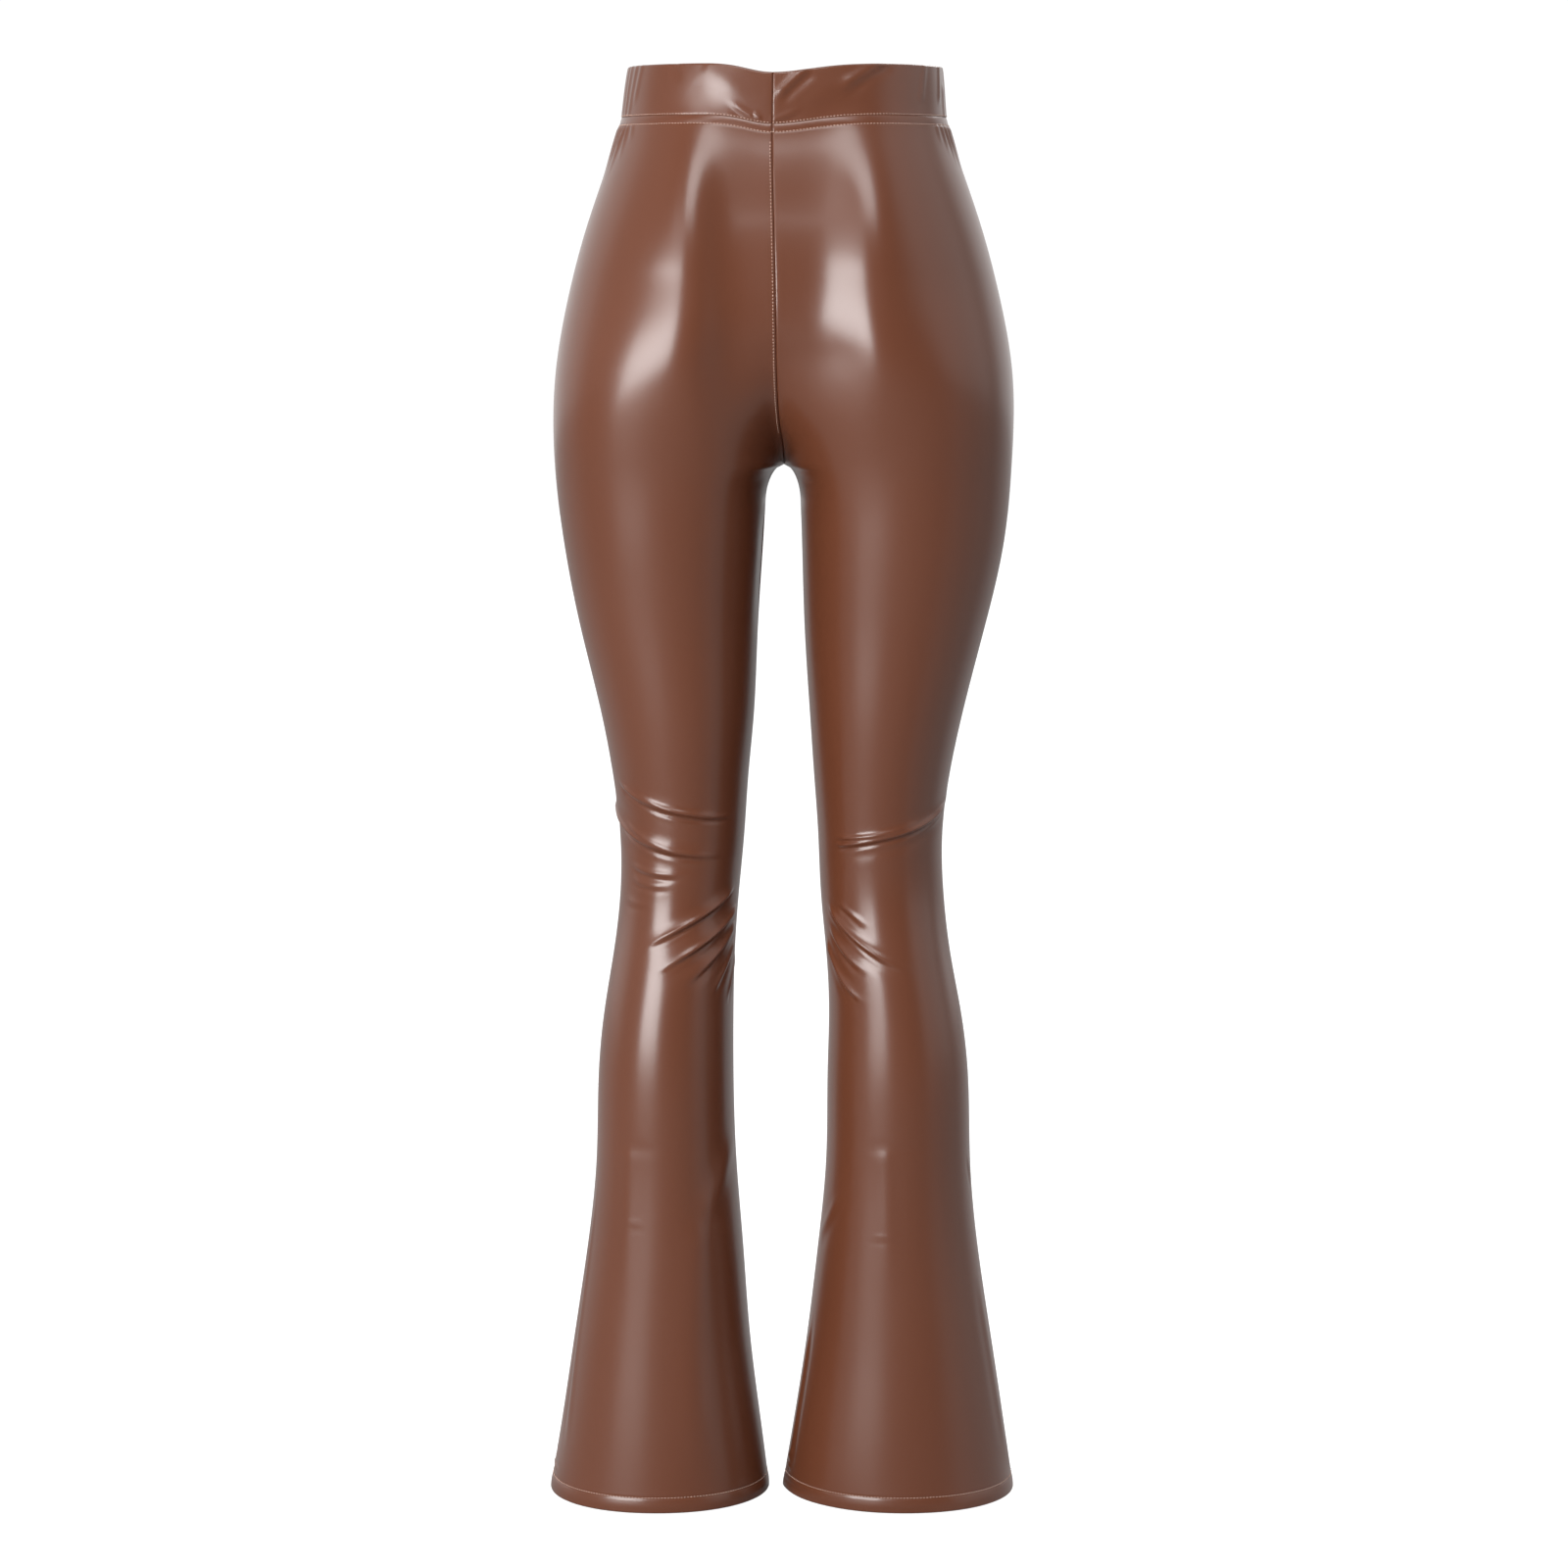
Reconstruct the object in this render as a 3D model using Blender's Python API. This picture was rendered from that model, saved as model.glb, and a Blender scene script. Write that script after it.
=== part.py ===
"""Faux leather bootcut trousers: five cloth pieces round an empty body.

The trousers keep the form they have when worn, with nobody in them. The back faces -Y and
the front +Y, so +X is the wearer's right. Z points up, and the origin is the middle of the
waistband, where the wearer's waist holds the garment.

Tables and sizes are in millimetres. Heights in them are drops: distances below the waist's
top edge. Widths are distances out from the middle plane, X = 0, on the leg that is named.
"""
import math
from typing import NamedTuple

import bpy
import numpy as np

MM = 0.001

LENGTH = 1041.5
BAND_HEIGHT = 36.0
WAIST_LINE = BAND_HEIGHT / 2
CROTCH_DROP = 285.0

PANEL_WALL = 1.5
BAND_WALL = 3.0
HEM_WALL = 3.0
HEM_DEPTH = 12.0
SEAM_GAP = 0.3


class Section(NamedTuple):
    """The garment cut level at one drop. Inner widths start at the crotch, and are for the legs."""

    drop: float
    left_outer: float
    left_inner: float
    right_inner: float
    right_outer: float
    back: float
    front: float
    seam_y: float


SECTIONS = (
    Section(0, 112, 0, 0, 114, 90, 92, 1),
    Section(36, 117, 0, 0, 117, 95, 96, 0),
    Section(60, 124, 0, 0, 124, 105, 99, -1),
    Section(113, 142, 0, 0, 142, 122, 103, -5),
    Section(166, 156, 0, 0, 156, 126, 104, -9),
    Section(219, 165, 0, 0, 165, 118, 102, -10),
    Section(CROTCH_DROP, 166, 12, 11, 165, 101, 97, -7),
    Section(340, 160, 15, 13, 160, 92, 90, -4),
    Section(404, 148, 19, 15, 146, 82, 81, -2),
    Section(468, 133, 22, 19, 130, 74, 73, 0),
    Section(512, 125, 26, 22, 121, 67, 68, 1),
    Section(555, 120, 29, 25, 116, 61, 64, 1),
    Section(598, 120, 33, 27, 117, 59, 58, 0),
    Section(642, 125, 36, 31, 122, 64, 53, -4),
    Section(686, 132, 37, 33, 130, 69, 50, -7),
    Section(729, 136, 37, 32, 135, 72, 49, -9),
    Section(795, 138, 35, 31, 137, 72, 52, -8),
    Section(861, 145, 30, 25, 143, 74, 60, -6),
    Section(928, 155, 25, 17, 153, 78, 68, -5),
    Section(994, 165, 17, 7, 163, 84, 76, -4),
    Section(LENGTH, 173, 11, -1, 170, 88, 81, -3),
)

# The arch between the legs, how rounded the cloth is where the legs join, and how far above
# the crotch each rise seam begins to turn under. The turn's start is its share of an even one.
ARCH_DEPTH = 25.0
ARCH_REACH = 20.0
JOIN_ROUNDING = 5.0
BACK_RISE_CURVE = 140.0
FRONT_RISE_CURVE = 96.0
RISE_TURN_START = 0.25
LEG_PARTING = 34.0

# How full a section is: 2 is an ellipse, more is squarer.
HIP_FULLNESS = 2.3
LEG_FULLNESS = 2.08
FULLNESS_CHANGE = (200.0, 330.0)

# The seat seam lies in a wide hollow between the two sides of the seat. A power over 2 makes
# its bottom flatter than a bell's. It deepens and dies away over these drops.
SEAT_HOLLOW_DEPTH = 19.0
SEAT_HOLLOW_REACH = 54.0
SEAT_HOLLOW_POWER = 4.0
SEAT_HOLLOW_START = (0.0, 110.0)
SEAT_HOLLOW_END = (200.0, CROTCH_DROP)

# The top of the back dips at the middle, by this much and over these widths.
WAIST_DIP = 6.5
WAIST_DIP_LEFT = 26.0
WAIST_DIP_RIGHT = 36.0
WAIST_DIP_END = 90.0

# Small tucks beside the side seams, under the band, and fewer and lower ones in the band.
# The last tuck of a row dies away over a part of the spacing. The spans are drops.
TUCK_COUNT = 4
TUCK_SPACING = 10.0
TUCK_HEIGHT = 2.0
TUCK_RISE = (BAND_HEIGHT, BAND_HEIGHT + 8)
TUCK_FALL = (BAND_HEIGHT + 14, 78.0)
LAST_TUCK_START = 0.6
LAST_TUCK_END = 0.1
BAND_TUCK_COUNT = 2
BAND_TUCK_HEIGHT = 1.0

# The band is slightly full between its edges, and its top edge is rounded by this much.
BAND_PUFF = 0.8
BAND_ROUNDING = BAND_WALL / 4
BAND_DROPS = (0.0, 2.5, 10.0, 19.0, 28.0, BAND_HEIGHT - SEAM_GAP)

# A panel is about this wide at the knee, from inseam to outseam.
KNEE_HALF_GIRTH = 170.0


class Fold(NamedTuple):
    """A soft ridge with a trough under it, between two places on a panel.

    A place is its distance from the inseam round the panel, and its drop. The bow is how far
    the middle of the fold hangs below the line between its ends.
    """

    piece: str
    start: float
    start_drop: float
    end: float
    end_drop: float
    bow: float
    height: float
    reach: float


FOLDS = (
    Fold("back_left", 140, 514, 38, 538, 7, 1.5, 6),
    Fold("back_left", 166, 533, 48, 566, 8, 2.0, 6),
    Fold("back_left", 126, 573, 84, 579, 2, 1.0, 5),
    Fold("back_left", 24, 590, 108, 632, 1, 1.8, 5),
    Fold("back_left", 8, 602, 96, 650, 1, 2.0, 5),
    Fold("back_left", 8, 620, 74, 660, 2, 1.6, 5),
    Fold("back_right", 44, 558, 166, 524, 5, 2.0, 6),
    Fold("back_right", 24, 600, 100, 651, 1, 2.0, 5),
    Fold("back_right", 14, 624, 64, 673, 3, 1.8, 5),
    Fold("front_left", 168, 528, 70, 506, -5, 1.8, 7),
    Fold("front_left", 4, 596, 92, 572, 4, 1.8, 7),
    Fold("front_left", 150, 604, 70, 622, 3, 1.4, 7),
    Fold("front_right", 168, 520, 66, 502, -5, 1.8, 7),
    Fold("front_right", 4, 592, 96, 566, 4, 1.9, 7),
    Fold("front_right", 146, 612, 76, 628, 3, 1.4, 7),
)

# Beside a fold's ridge runs its trough: its depth as a share of the ridge's height, and its
# distance in reaches. A fold rises and dies away over these shares of its length.
TROUGH_DEPTH = 0.6
TROUGH_DISTANCE = 1.7
FOLD_RISE = (-0.08, 0.2)
FOLD_FALL = (0.7, 1.08)

# Columns of points round a panel, and how near its centre seam the columns take up a change.
# They crowd at the side seam under the waist, and are even after these drops.
PANEL_COLUMNS = 15
CENTRE_CROWDING = 4
COLUMNS_EVEN_OUT = (58.0, 168.0)
ARC_SAMPLES = 240


class Span(NamedTuple):
    """A stretch of rows down a panel. A crowding over 1 packs them towards its start."""

    start: float
    end: float
    rows: int
    crowding: float


ROW_SPANS = (
    Span(BAND_HEIGHT, 78, 4, 1.0),
    Span(78, 230, 6, 1.0),
    Span(CROTCH_DROP, 230, 6, 1.6),
    Span(CROTCH_DROP, 318, 4, 1.6),
    Span(318, 502, 6, 1.0),
    Span(502, 682, 18, 1.0),
    Span(682, 1010, 9, 1.0),
)
HEM_STEP = 2.0
HEM_ROWS = (LENGTH - HEM_DEPTH - HEM_STEP, LENGTH - HEM_DEPTH, LENGTH)

LEATHER_COLOUR = (0.120, 0.038, 0.018, 1.0)
LEATHER_ROUGHNESS = 0.3
SHARP_ANGLE = math.radians(50)


def spline(knots, values, at):
    """Natural cubic spline through (knots, values), read at an array of places."""
    knots = np.asarray(knots, float)
    values = np.asarray(values, float)
    step = np.diff(knots)
    slope = np.diff(values) / step
    size = len(knots)
    matrix = np.eye(size)
    right = np.zeros(size)
    for i in range(1, size - 1):
        matrix[i, i - 1:i + 2] = step[i - 1], 2 * (step[i - 1] + step[i]), step[i]
        right[i] = 6 * (slope[i] - slope[i - 1])
    bend = np.linalg.solve(matrix, right)
    i = np.clip(np.searchsorted(knots, at, side="right") - 1, 0, size - 2)
    past = at - knots[i]
    left = knots[i + 1] - at
    return (
        (bend[i] * left**3 + bend[i + 1] * past**3) / (6 * step[i])
        + (values[i] / step[i] - bend[i] * step[i] / 6) * left
        + (values[i + 1] / step[i] - bend[i + 1] * step[i] / 6) * past
    )


def smooth_step(start, end, at):
    """0 before start, 1 after end, and an even S between."""
    share = np.clip((at - start) / (end - start), 0, 1)
    return share * share * (3 - 2 * share)


def bell(distance, reach):
    """A soft bump of height 1, which has faded at about twice its reach."""
    return np.exp(-((distance / reach) ** 2))


def size_down(name, drops, legs_only=False):
    """One column of the section table, as a smooth line down the garment."""
    rows = [row for row in SECTIONS if row.drop >= CROTCH_DROP or not legs_only]
    return spline([row.drop for row in rows], [getattr(row, name) for row in rows], drops)


def inner_width(side, drops):
    """Distance of a leg's inner side from the middle plane: a round arch, then the table."""
    share = np.clip((drops - CROTCH_DROP) / ARCH_DEPTH, 0, 1)
    arch = np.sqrt(share * (2 - share))
    return size_down(f"{side}_inner", np.maximum(drops, CROTCH_DROP), legs_only=True) * arch


def inner_reach(side, drops, curve):
    """Where each level ellipse would end on its inner side, smoothly past the crotch.

    On a leg it is the leg's inner side. Above the crotch it moves to the far side of the
    body, so that the ellipse becomes the whole hip, and is cut off at the middle plane.
    """
    outer = size_down(f"{side}_outer", drops)
    share = np.clip((CROTCH_DROP - drops) / curve, 0, 1)
    turn = RISE_TURN_START * share * (1 - share) ** 2 + share * share * (3 - 2 * share)
    across = -(outer + JOIN_ROUNDING) * turn / (2 - turn)
    below = np.maximum(drops - CROTCH_DROP, 0)
    leg_inner = size_down(f"{side}_inner", np.maximum(drops, CROTCH_DROP), legs_only=True)
    far = np.sqrt(leg_inner**2 + JOIN_ROUNDING**2) - JOIN_ROUNDING
    return JOIN_ROUNDING + across + far * (1 - np.exp(-below / LEG_PARTING))


def signed_power(value, power):
    """A power that keeps the sign."""
    return np.sign(value) * np.abs(value) ** power


def panel_arcs(side, face, drops):
    """Level arcs of one panel, on the +X side, from its centre seam to the outseam.

    Each is part of a superellipse. On a leg it is half of one, from the inseam round to the
    outseam. Above the crotch it is cut at the middle plane, where the rise seam is, and the
    widths are drawn in there as on a hyperbola, so that the two sides meet in a round.
    """
    curve = BACK_RISE_CURVE if face == "back" else FRONT_RISE_CURVE
    outer = size_down(f"{side}_outer", drops)
    reach = inner_reach(side, drops, curve)
    half_width = (outer - reach) / 2
    centre = (outer + reach) / 2
    seam_y = size_down("seam_y", drops)
    depth = size_down(face, drops) + (seam_y if face == "back" else -seam_y)
    change = smooth_step(*FULLNESS_CHANGE, drops)
    fullness = HIP_FULLNESS + (LEG_FULLNESS - HIP_FULLNESS) * change
    first = np.clip((JOIN_ROUNDING - centre) / half_width, -1, 1)
    start = np.arcsin(signed_power(first, fullness / 2))[:, None]
    angle = start + (math.pi / 2 - start) * np.linspace(0, 1, ARC_SAMPLES)
    power = (2 / fullness)[:, None]
    x = centre[:, None] + half_width[:, None] * signed_power(np.sin(angle), power)
    x = np.sqrt(np.maximum(x**2 - JOIN_ROUNDING**2, 0))
    arch = inner_width(side, drops)[:, None] - x[:, :1]
    arch = np.where(drops[:, None] > CROTCH_DROP, arch, 0)
    x += arch * bell(x - x[:, :1], ARCH_REACH)
    out = depth[:, None] * np.abs(np.cos(angle)) ** power
    if face == "back":
        down = smooth_step(*SEAT_HOLLOW_START, drops) * (1 - smooth_step(*SEAT_HOLLOW_END, drops))
        across = np.exp(-((x / SEAT_HOLLOW_REACH) ** SEAT_HOLLOW_POWER))
        out -= SEAT_HOLLOW_DEPTH * down[:, None] * across
    y = seam_y[:, None] + out * (-1 if face == "back" else 1)
    return x, y


def spread_along(x, y, shares):
    """Points at given shares of each arc's length, with their distances along it."""
    steps = np.hypot(np.diff(x, axis=1), np.diff(y, axis=1))
    length = np.concatenate([np.zeros((len(x), 1)), np.cumsum(steps, axis=1)], axis=1)
    along = shares * length[:, -1:]
    new_x = np.array([np.interp(*row) for row in zip(along, length, x)])
    new_y = np.array([np.interp(*row) for row in zip(along, length, y)])
    return new_x, new_y, along


def arc_lengths(side, face, drops):
    """The length of each of a panel's level arcs, from its centre seam to the outseam."""
    x, y = panel_arcs(side, face, drops)
    return np.hypot(np.diff(x, axis=1), np.diff(y, axis=1)).sum(axis=1)


def column_shares(side, face, drops):
    """Columns evenly round the panel, but crowded at the side seam where the tucks are.

    The arcs grow suddenly where the rise seam turns under to the crotch. The columns near the
    centre seam take that up, and the others run on smoothly.
    """
    even = np.linspace(0, 1, PANEL_COLUMNS)
    tuck_columns = 2 * TUCK_COUNT
    plain = PANEL_COLUMNS - tuck_columns
    length = arc_lengths(side, face, drops)
    edge = (1 - (tuck_columns - 1) * TUCK_SPACING / 2 / length)[:, None]
    crowded = np.concatenate([
        edge * np.linspace(0, 1, plain, endpoint=False),
        edge + (1 - edge) * np.linspace(0, 1, tuck_columns),
    ], axis=1)
    fade = smooth_step(*COLUMNS_EVEN_OUT, drops)[:, None]
    shares = crowded + (even - crowded) * fade
    away = [row.drop for row in SECTIONS if row.drop != CROTCH_DROP]
    smooth_length = spline(away, arc_lengths(side, face, np.array(away)), drops)
    growth = (1 - smooth_length / length)[:, None] * fade
    return shares + growth * ((1 - shares) - (1 - shares) ** CENTRE_CROWDING)


def smooth_grid(side, face, drops):
    """Unwrinkled points of a panel's outside on the +X side, and where they are on it.

    The places are the distance from the centre seam and from the outseam, round the panel.
    """
    x, y = panel_arcs(side, face, drops)
    x, y, along = spread_along(x, y, column_shares(side, face, drops))
    dip = np.zeros_like(x)
    if face == "back":
        reach = WAIST_DIP_LEFT if side == "left" else WAIST_DIP_RIGHT
        fade = 1 - smooth_step(BAND_HEIGHT, WAIST_DIP_END, drops)
        dip = WAIST_DIP * fade[:, None] * bell(x, reach)
    z = -(drops[:, None] + dip)
    return np.stack([x, y, z], axis=2), along, along[:, -1:] - along


def fold_height(piece, along, drops):
    """Height of all of a piece's folds at places round and down it."""
    total = np.zeros_like(along)
    for fold in FOLDS:
        if fold.piece != piece:
            continue
        run = np.array([fold.end - fold.start, fold.end_drop - fold.start_drop])
        length = np.hypot(*run)
        from_start = along - fold.start, drops - fold.start_drop
        share = (from_start[0] * run[0] + from_start[1] * run[1]) / length**2
        aside = (from_start[1] * run[0] - from_start[0] * run[1]) / length * np.sign(run[0])
        aside -= fold.bow * 4 * share * (1 - share)
        taper = smooth_step(*FOLD_RISE, share) * (1 - smooth_step(*FOLD_FALL, share))
        trough = bell(aside - TROUGH_DISTANCE * fold.reach, fold.reach)
        total += fold.height * taper * (bell(aside, fold.reach) - TROUGH_DEPTH * trough)
    return total


def tuck_height(from_side, count, height):
    """Up and down across the tucks beside a side seam, with the first ridge one half away."""
    wave = (1 - np.cos(2 * math.pi * from_side / TUCK_SPACING)) / 2
    near = 1 - smooth_step(count - LAST_TUCK_START, count + LAST_TUCK_END, from_side / TUCK_SPACING)
    return height * wave * near


def normals_of(points, outward):
    """Unit normals of a grid of points, rows first. Outward is 1 or -1."""
    down, across = np.gradient(points, axis=(0, 1))
    normal = np.cross(across, down) * outward
    return normal / np.linalg.norm(normal, axis=2, keepdims=True)


def panel_surface(side, face, drops):
    """The outer points of a panel on the +X side, with every seam edge still on its seam."""
    points, along, from_side = smooth_grid(side, face, drops)
    outward = -1 if face == "back" else 1
    round_knee = along / along[:, -1:] * KNEE_HALF_GIRTH
    height = fold_height(f"{face}_{side}", round_knee, drops[:, None] * np.ones_like(along))
    fade = smooth_step(*TUCK_RISE, drops) * (1 - smooth_step(*TUCK_FALL, drops))
    height += tuck_height(from_side, TUCK_COUNT, TUCK_HEIGHT) * fade[:, None]
    return points + normals_of(points, outward) * height[:, :, None]


def panel_rows():
    """The drops of a panel's rows, from the waistband to the hem."""
    rows = [BAND_HEIGHT, *HEM_ROWS]
    for span in ROW_SPANS:
        steps = np.linspace(0, 1, span.rows + 1) ** span.crowding
        rows.extend(span.start + (span.end - span.start) * steps)
    return np.unique(np.round(rows, 3))


def leg_walls(side):
    """Outer and inner points of one leg's back and front panels, on the +X side.

    The two share their points and normals on the inseam and the outseam, so the gap between
    them is even through the wall. On the rise seam a wall's edge lies in the middle plane, and
    under the waistband it is level.
    """
    drops = panel_rows()
    crotch = np.argmax(drops >= CROTCH_DROP)
    seams = (np.s_[crotch:, 0], np.s_[:, -1])
    outer = {face: panel_surface(side, face, drops) for face in ("back", "front")}
    for seam in seams:
        middle = (outer["back"][seam] + outer["front"][seam]) / 2
        outer["back"][seam] = middle
        outer["front"][seam] = middle
    normal = {
        "back": normals_of(outer["back"], -1),
        "front": normals_of(outer["front"], 1),
    }
    for seam in seams:
        shared = normal["back"][seam] + normal["front"][seam]
        normal["back"][seam] = shared
        normal["front"][seam] = shared
    thickness = np.where(drops >= LENGTH - HEM_DEPTH, HEM_WALL, PANEL_WALL)[:, None, None]
    walls = {}
    for face, points in outer.items():
        normal[face][:crotch, 0, 0] = 0
        normal[face][crotch, 0] = 0, 0, -1
        normal[face][0, :, 2] = 0
        normal[face] /= np.linalg.norm(normal[face], axis=2, keepdims=True)
        inside = points - normal[face] * thickness
        walls[face] = [open_seams(layer, face, crotch) for layer in (points, inside)]
    return walls


def open_seams(points, face, crotch):
    """Draw a panel's edges back from its seams by half the gap between two pieces."""
    half = SEAM_GAP / 2
    moved = points.copy()
    for column, beside in ((0, 1), (-1, -2)):
        run = points[:, beside] - points[:, column]
        run[:, 2] = 0
        run /= np.linalg.norm(run, axis=1, keepdims=True)
        moved[:, column] += run * half
    towards = -1 if face == "back" else 1
    moved[: crotch + 1, 0] = points[: crotch + 1, 0]
    moved[crotch, 0, 1] += half * towards
    moved[:, :, 0] = np.maximum(moved[:, :, 0], half)
    return moved


def wall_mesh(name, outer, inner, mirrored, turned):
    """A closed wall between two grids of points, as a mesh in metres about the waist line.

    A mirrored wall goes to the -X side. A turned wall's columns run the other way round.
    """
    rows, columns = outer.shape[:2]
    points = np.concatenate([outer.reshape(-1, 3), inner.reshape(-1, 3)])
    points[:, 2] += WAIST_LINE
    if mirrored:
        points[:, 0] *= -1
    index = np.arange(rows * columns).reshape(rows, columns)
    inside = rows * columns
    quads = np.stack([index[:-1, :-1], index[:-1, 1:], index[1:, 1:], index[1:, :-1]], axis=2)
    quads = quads.reshape(-1, 4)
    edge = np.concatenate([index[0, :-1], index[:-1, -1], index[-1, :0:-1], index[:0:-1, 0]])
    following = np.roll(edge, -1)
    rim = np.stack([following, edge, edge + inside, following + inside], axis=1)
    faces = np.concatenate([quads, quads[:, ::-1] + inside, rim])
    if mirrored != turned:
        faces = faces[:, ::-1]
    mesh = bpy.data.meshes.new(name)
    mesh.from_pydata((points * MM).tolist(), [], faces.tolist())
    mesh.update()
    return mesh


def leather(name):
    """Glossy coated cloth for one piece."""
    material = bpy.data.materials.new(f"{name}_leather")
    material.use_nodes = True
    shader = material.node_tree.nodes["Principled BSDF"]
    shader.inputs["Base Color"].default_value = LEATHER_COLOUR
    shader.inputs["Roughness"].default_value = LEATHER_ROUGHNESS
    shader.inputs["Metallic"].default_value = 0.0
    return material


def add_piece(name, mesh, collection, parent):
    """Put one piece of cloth in the collection, smooth shaded, under the parent."""
    mesh.shade_smooth()
    mesh.set_sharp_from_angle(angle=SHARP_ANGLE)
    mesh.materials.append(leather(name))
    piece = bpy.data.objects.new(name, mesh)
    piece.parent = parent
    collection.objects.link(piece)
    return piece


def band_walls():
    """Outer and inner points of the waistband, from the centre back round to it again.

    Its columns are those of the panels under it.
    """
    drops = np.array(BAND_DROPS)
    down = np.sin(math.pi * drops / drops[-1])[:, None]
    quarters = []
    heights = []
    for side, face in (
        ("right", "back"), ("right", "front"), ("left", "front"), ("left", "back"),
    ):
        points, _, from_side = smooth_grid(side, face, drops)
        tucks = tuck_height(from_side, BAND_TUCK_COUNT, BAND_TUCK_HEIGHT)
        height = (BAND_PUFF + tucks) * down
        if side == "left":
            points[:, :, 0] *= -1
        towards_middle = (side == "left") == (face == "back")
        quarters.append(points[:, ::-1] if towards_middle else points)
        heights.append(height[:, ::-1] if towards_middle else height)
    ring = np.concatenate([quarters[0]] + [part[:, 1:] for part in quarters[1:]], axis=1)
    height = np.concatenate([heights[0]] + [part[:, 1:] for part in heights[1:]], axis=1)
    normal = normals_of(ring, -1)
    normal[:, (0, -1), 0] = 0
    normal[-1, :, 2] = 0
    normal /= np.linalg.norm(normal, axis=2, keepdims=True)
    full = ring + normal * height[:, :, None]
    rounding = np.where(drops == 0, BAND_ROUNDING, 0)[:, None, None]
    outer = full - normal * rounding
    inner = full - normal * (BAND_WALL - rounding)
    for layer in (outer, inner):
        layer[:, 0, 0] = SEAM_GAP / 2
        layer[:, -1, 0] = -SEAM_GAP / 2
    return outer, inner


def build():
    """Make the five pieces of the trousers."""
    for old in list(bpy.data.objects):
        bpy.data.objects.remove(old, do_unlink=True)
    collection = bpy.data.collections.new("bootcut_trousers")
    bpy.context.scene.collection.children.link(collection)
    garment = bpy.data.objects.new("garment", None)
    collection.objects.link(garment)
    for side in ("left", "right"):
        for face, (outer, inner) in leg_walls(side).items():
            name = f"{face}_{side}"
            mesh = wall_mesh(name, outer, inner, side == "left", face == "back")
            add_piece(name, mesh, collection, garment)
    outer, inner = band_walls()
    mesh = wall_mesh("waistband", outer, inner, False, True)
    add_piece("waistband", mesh, collection, garment)


build()
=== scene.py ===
"""Faux leather bootcut trousers, dressed: fine cloth, creases, seams, stitches and studio light.

The garment is hollow and stands as worn. The back faces -Y and the front +Y, so +X is the
wearer's right. Tables and sizes are in millimetres, and a height is a drop:
the distance below the waist's top edge. The origin is the middle of the waistband.

Each leg panel is a surface worked out from two parameters, the way round the leg and the drop.
Folds, gathers and seams are heights added along the surface's normals.
"""
import logging
import math
from dataclasses import dataclass
from enum import Enum

import bpy
import numpy as np
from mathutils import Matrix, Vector


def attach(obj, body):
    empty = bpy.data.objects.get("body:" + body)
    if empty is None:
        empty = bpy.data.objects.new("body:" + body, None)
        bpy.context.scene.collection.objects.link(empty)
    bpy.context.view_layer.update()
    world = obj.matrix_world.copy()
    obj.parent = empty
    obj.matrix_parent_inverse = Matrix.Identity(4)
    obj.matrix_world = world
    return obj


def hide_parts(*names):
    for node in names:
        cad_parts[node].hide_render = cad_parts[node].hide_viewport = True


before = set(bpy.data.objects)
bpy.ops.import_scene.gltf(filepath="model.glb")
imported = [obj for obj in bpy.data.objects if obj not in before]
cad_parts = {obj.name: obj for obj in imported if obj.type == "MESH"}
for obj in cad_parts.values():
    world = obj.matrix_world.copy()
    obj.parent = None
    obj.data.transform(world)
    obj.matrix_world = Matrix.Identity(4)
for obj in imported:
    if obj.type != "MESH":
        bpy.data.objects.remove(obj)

LOG = logging.getLogger("trousers")
MM = 0.001
TINY = 1e-9
BODY = "root"

Array = np.ndarray
Colour = tuple[float, float, float, float]
WHITE: Colour = (1, 1, 1, 1)


class Side(Enum):
    """Which of the wearer's legs."""

    LEFT = "left"
    RIGHT = "right"

    @property
    def sign(self) -> int:
        """The side of the middle plane that the leg is on, along X."""
        return -1 if self is Side.LEFT else 1


class Face(Enum):
    """Which of a leg's two panels."""

    BACK = "back"
    FRONT = "front"

    @property
    def sign(self) -> int:
        """The way that the panel faces, along Y."""
        return -1 if self is Face.BACK else 1


Panel = tuple[Side, Face]


def spline(knots: Array, values: Array, at: Array) -> Array:
    """Natural cubic spline.

    In words: cubic pieces whose values, slopes and bends agree at each knot, with no bend at
    the two ends.

    Args:
        knots: Places of the knots, rising.
        values: Value at each knot.
        at: Places to read.

    Returns:
        The spline's value at each place.
    """
    knots = np.asarray(knots, float)
    values = np.asarray(values, float)
    step = np.diff(knots)
    slope = np.diff(values) / step
    size = len(knots)
    matrix = np.eye(size)
    right = np.zeros(size)
    for i in range(1, size - 1):
        matrix[i, i - 1:i + 2] = step[i - 1], 2 * (step[i - 1] + step[i]), step[i]
        right[i] = 6 * (slope[i] - slope[i - 1])
    bend = np.linalg.solve(matrix, right)
    i = np.clip(np.searchsorted(knots, at, side="right") - 1, 0, size - 2)
    past = at - knots[i]
    left = knots[i + 1] - at
    return (
        (bend[i] * left**3 + bend[i + 1] * past**3) / (6 * step[i])
        + (values[i] / step[i] - bend[i] * step[i] / 6) * left
        + (values[i + 1] / step[i] - bend[i + 1] * step[i] / 6) * past
    )


def smooth_step(start: float, end: float, at: Array) -> Array:
    """0 before start, 1 after end, and the even S 3t^2 - 2t^3 between."""
    share = np.clip((at - start) / max(end - start, TINY), 0, 1)
    return share * share * (3 - 2 * share)


def bell(distance: Array, reach: Array | float) -> Array:
    """A soft bump of height 1: e to the power of minus (distance / reach) squared."""
    return np.exp(-((distance / reach) ** 2))


def signed_power(value: Array, power: Array | float) -> Array:
    """The size of a value to a power, with the value's sign."""
    return np.sign(value) * np.abs(value) ** power


def unit(vectors: Array) -> Array:
    """Vectors along the last axis, made one long."""
    return vectors / np.linalg.norm(vectors, axis=-1, keepdims=True)


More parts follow.
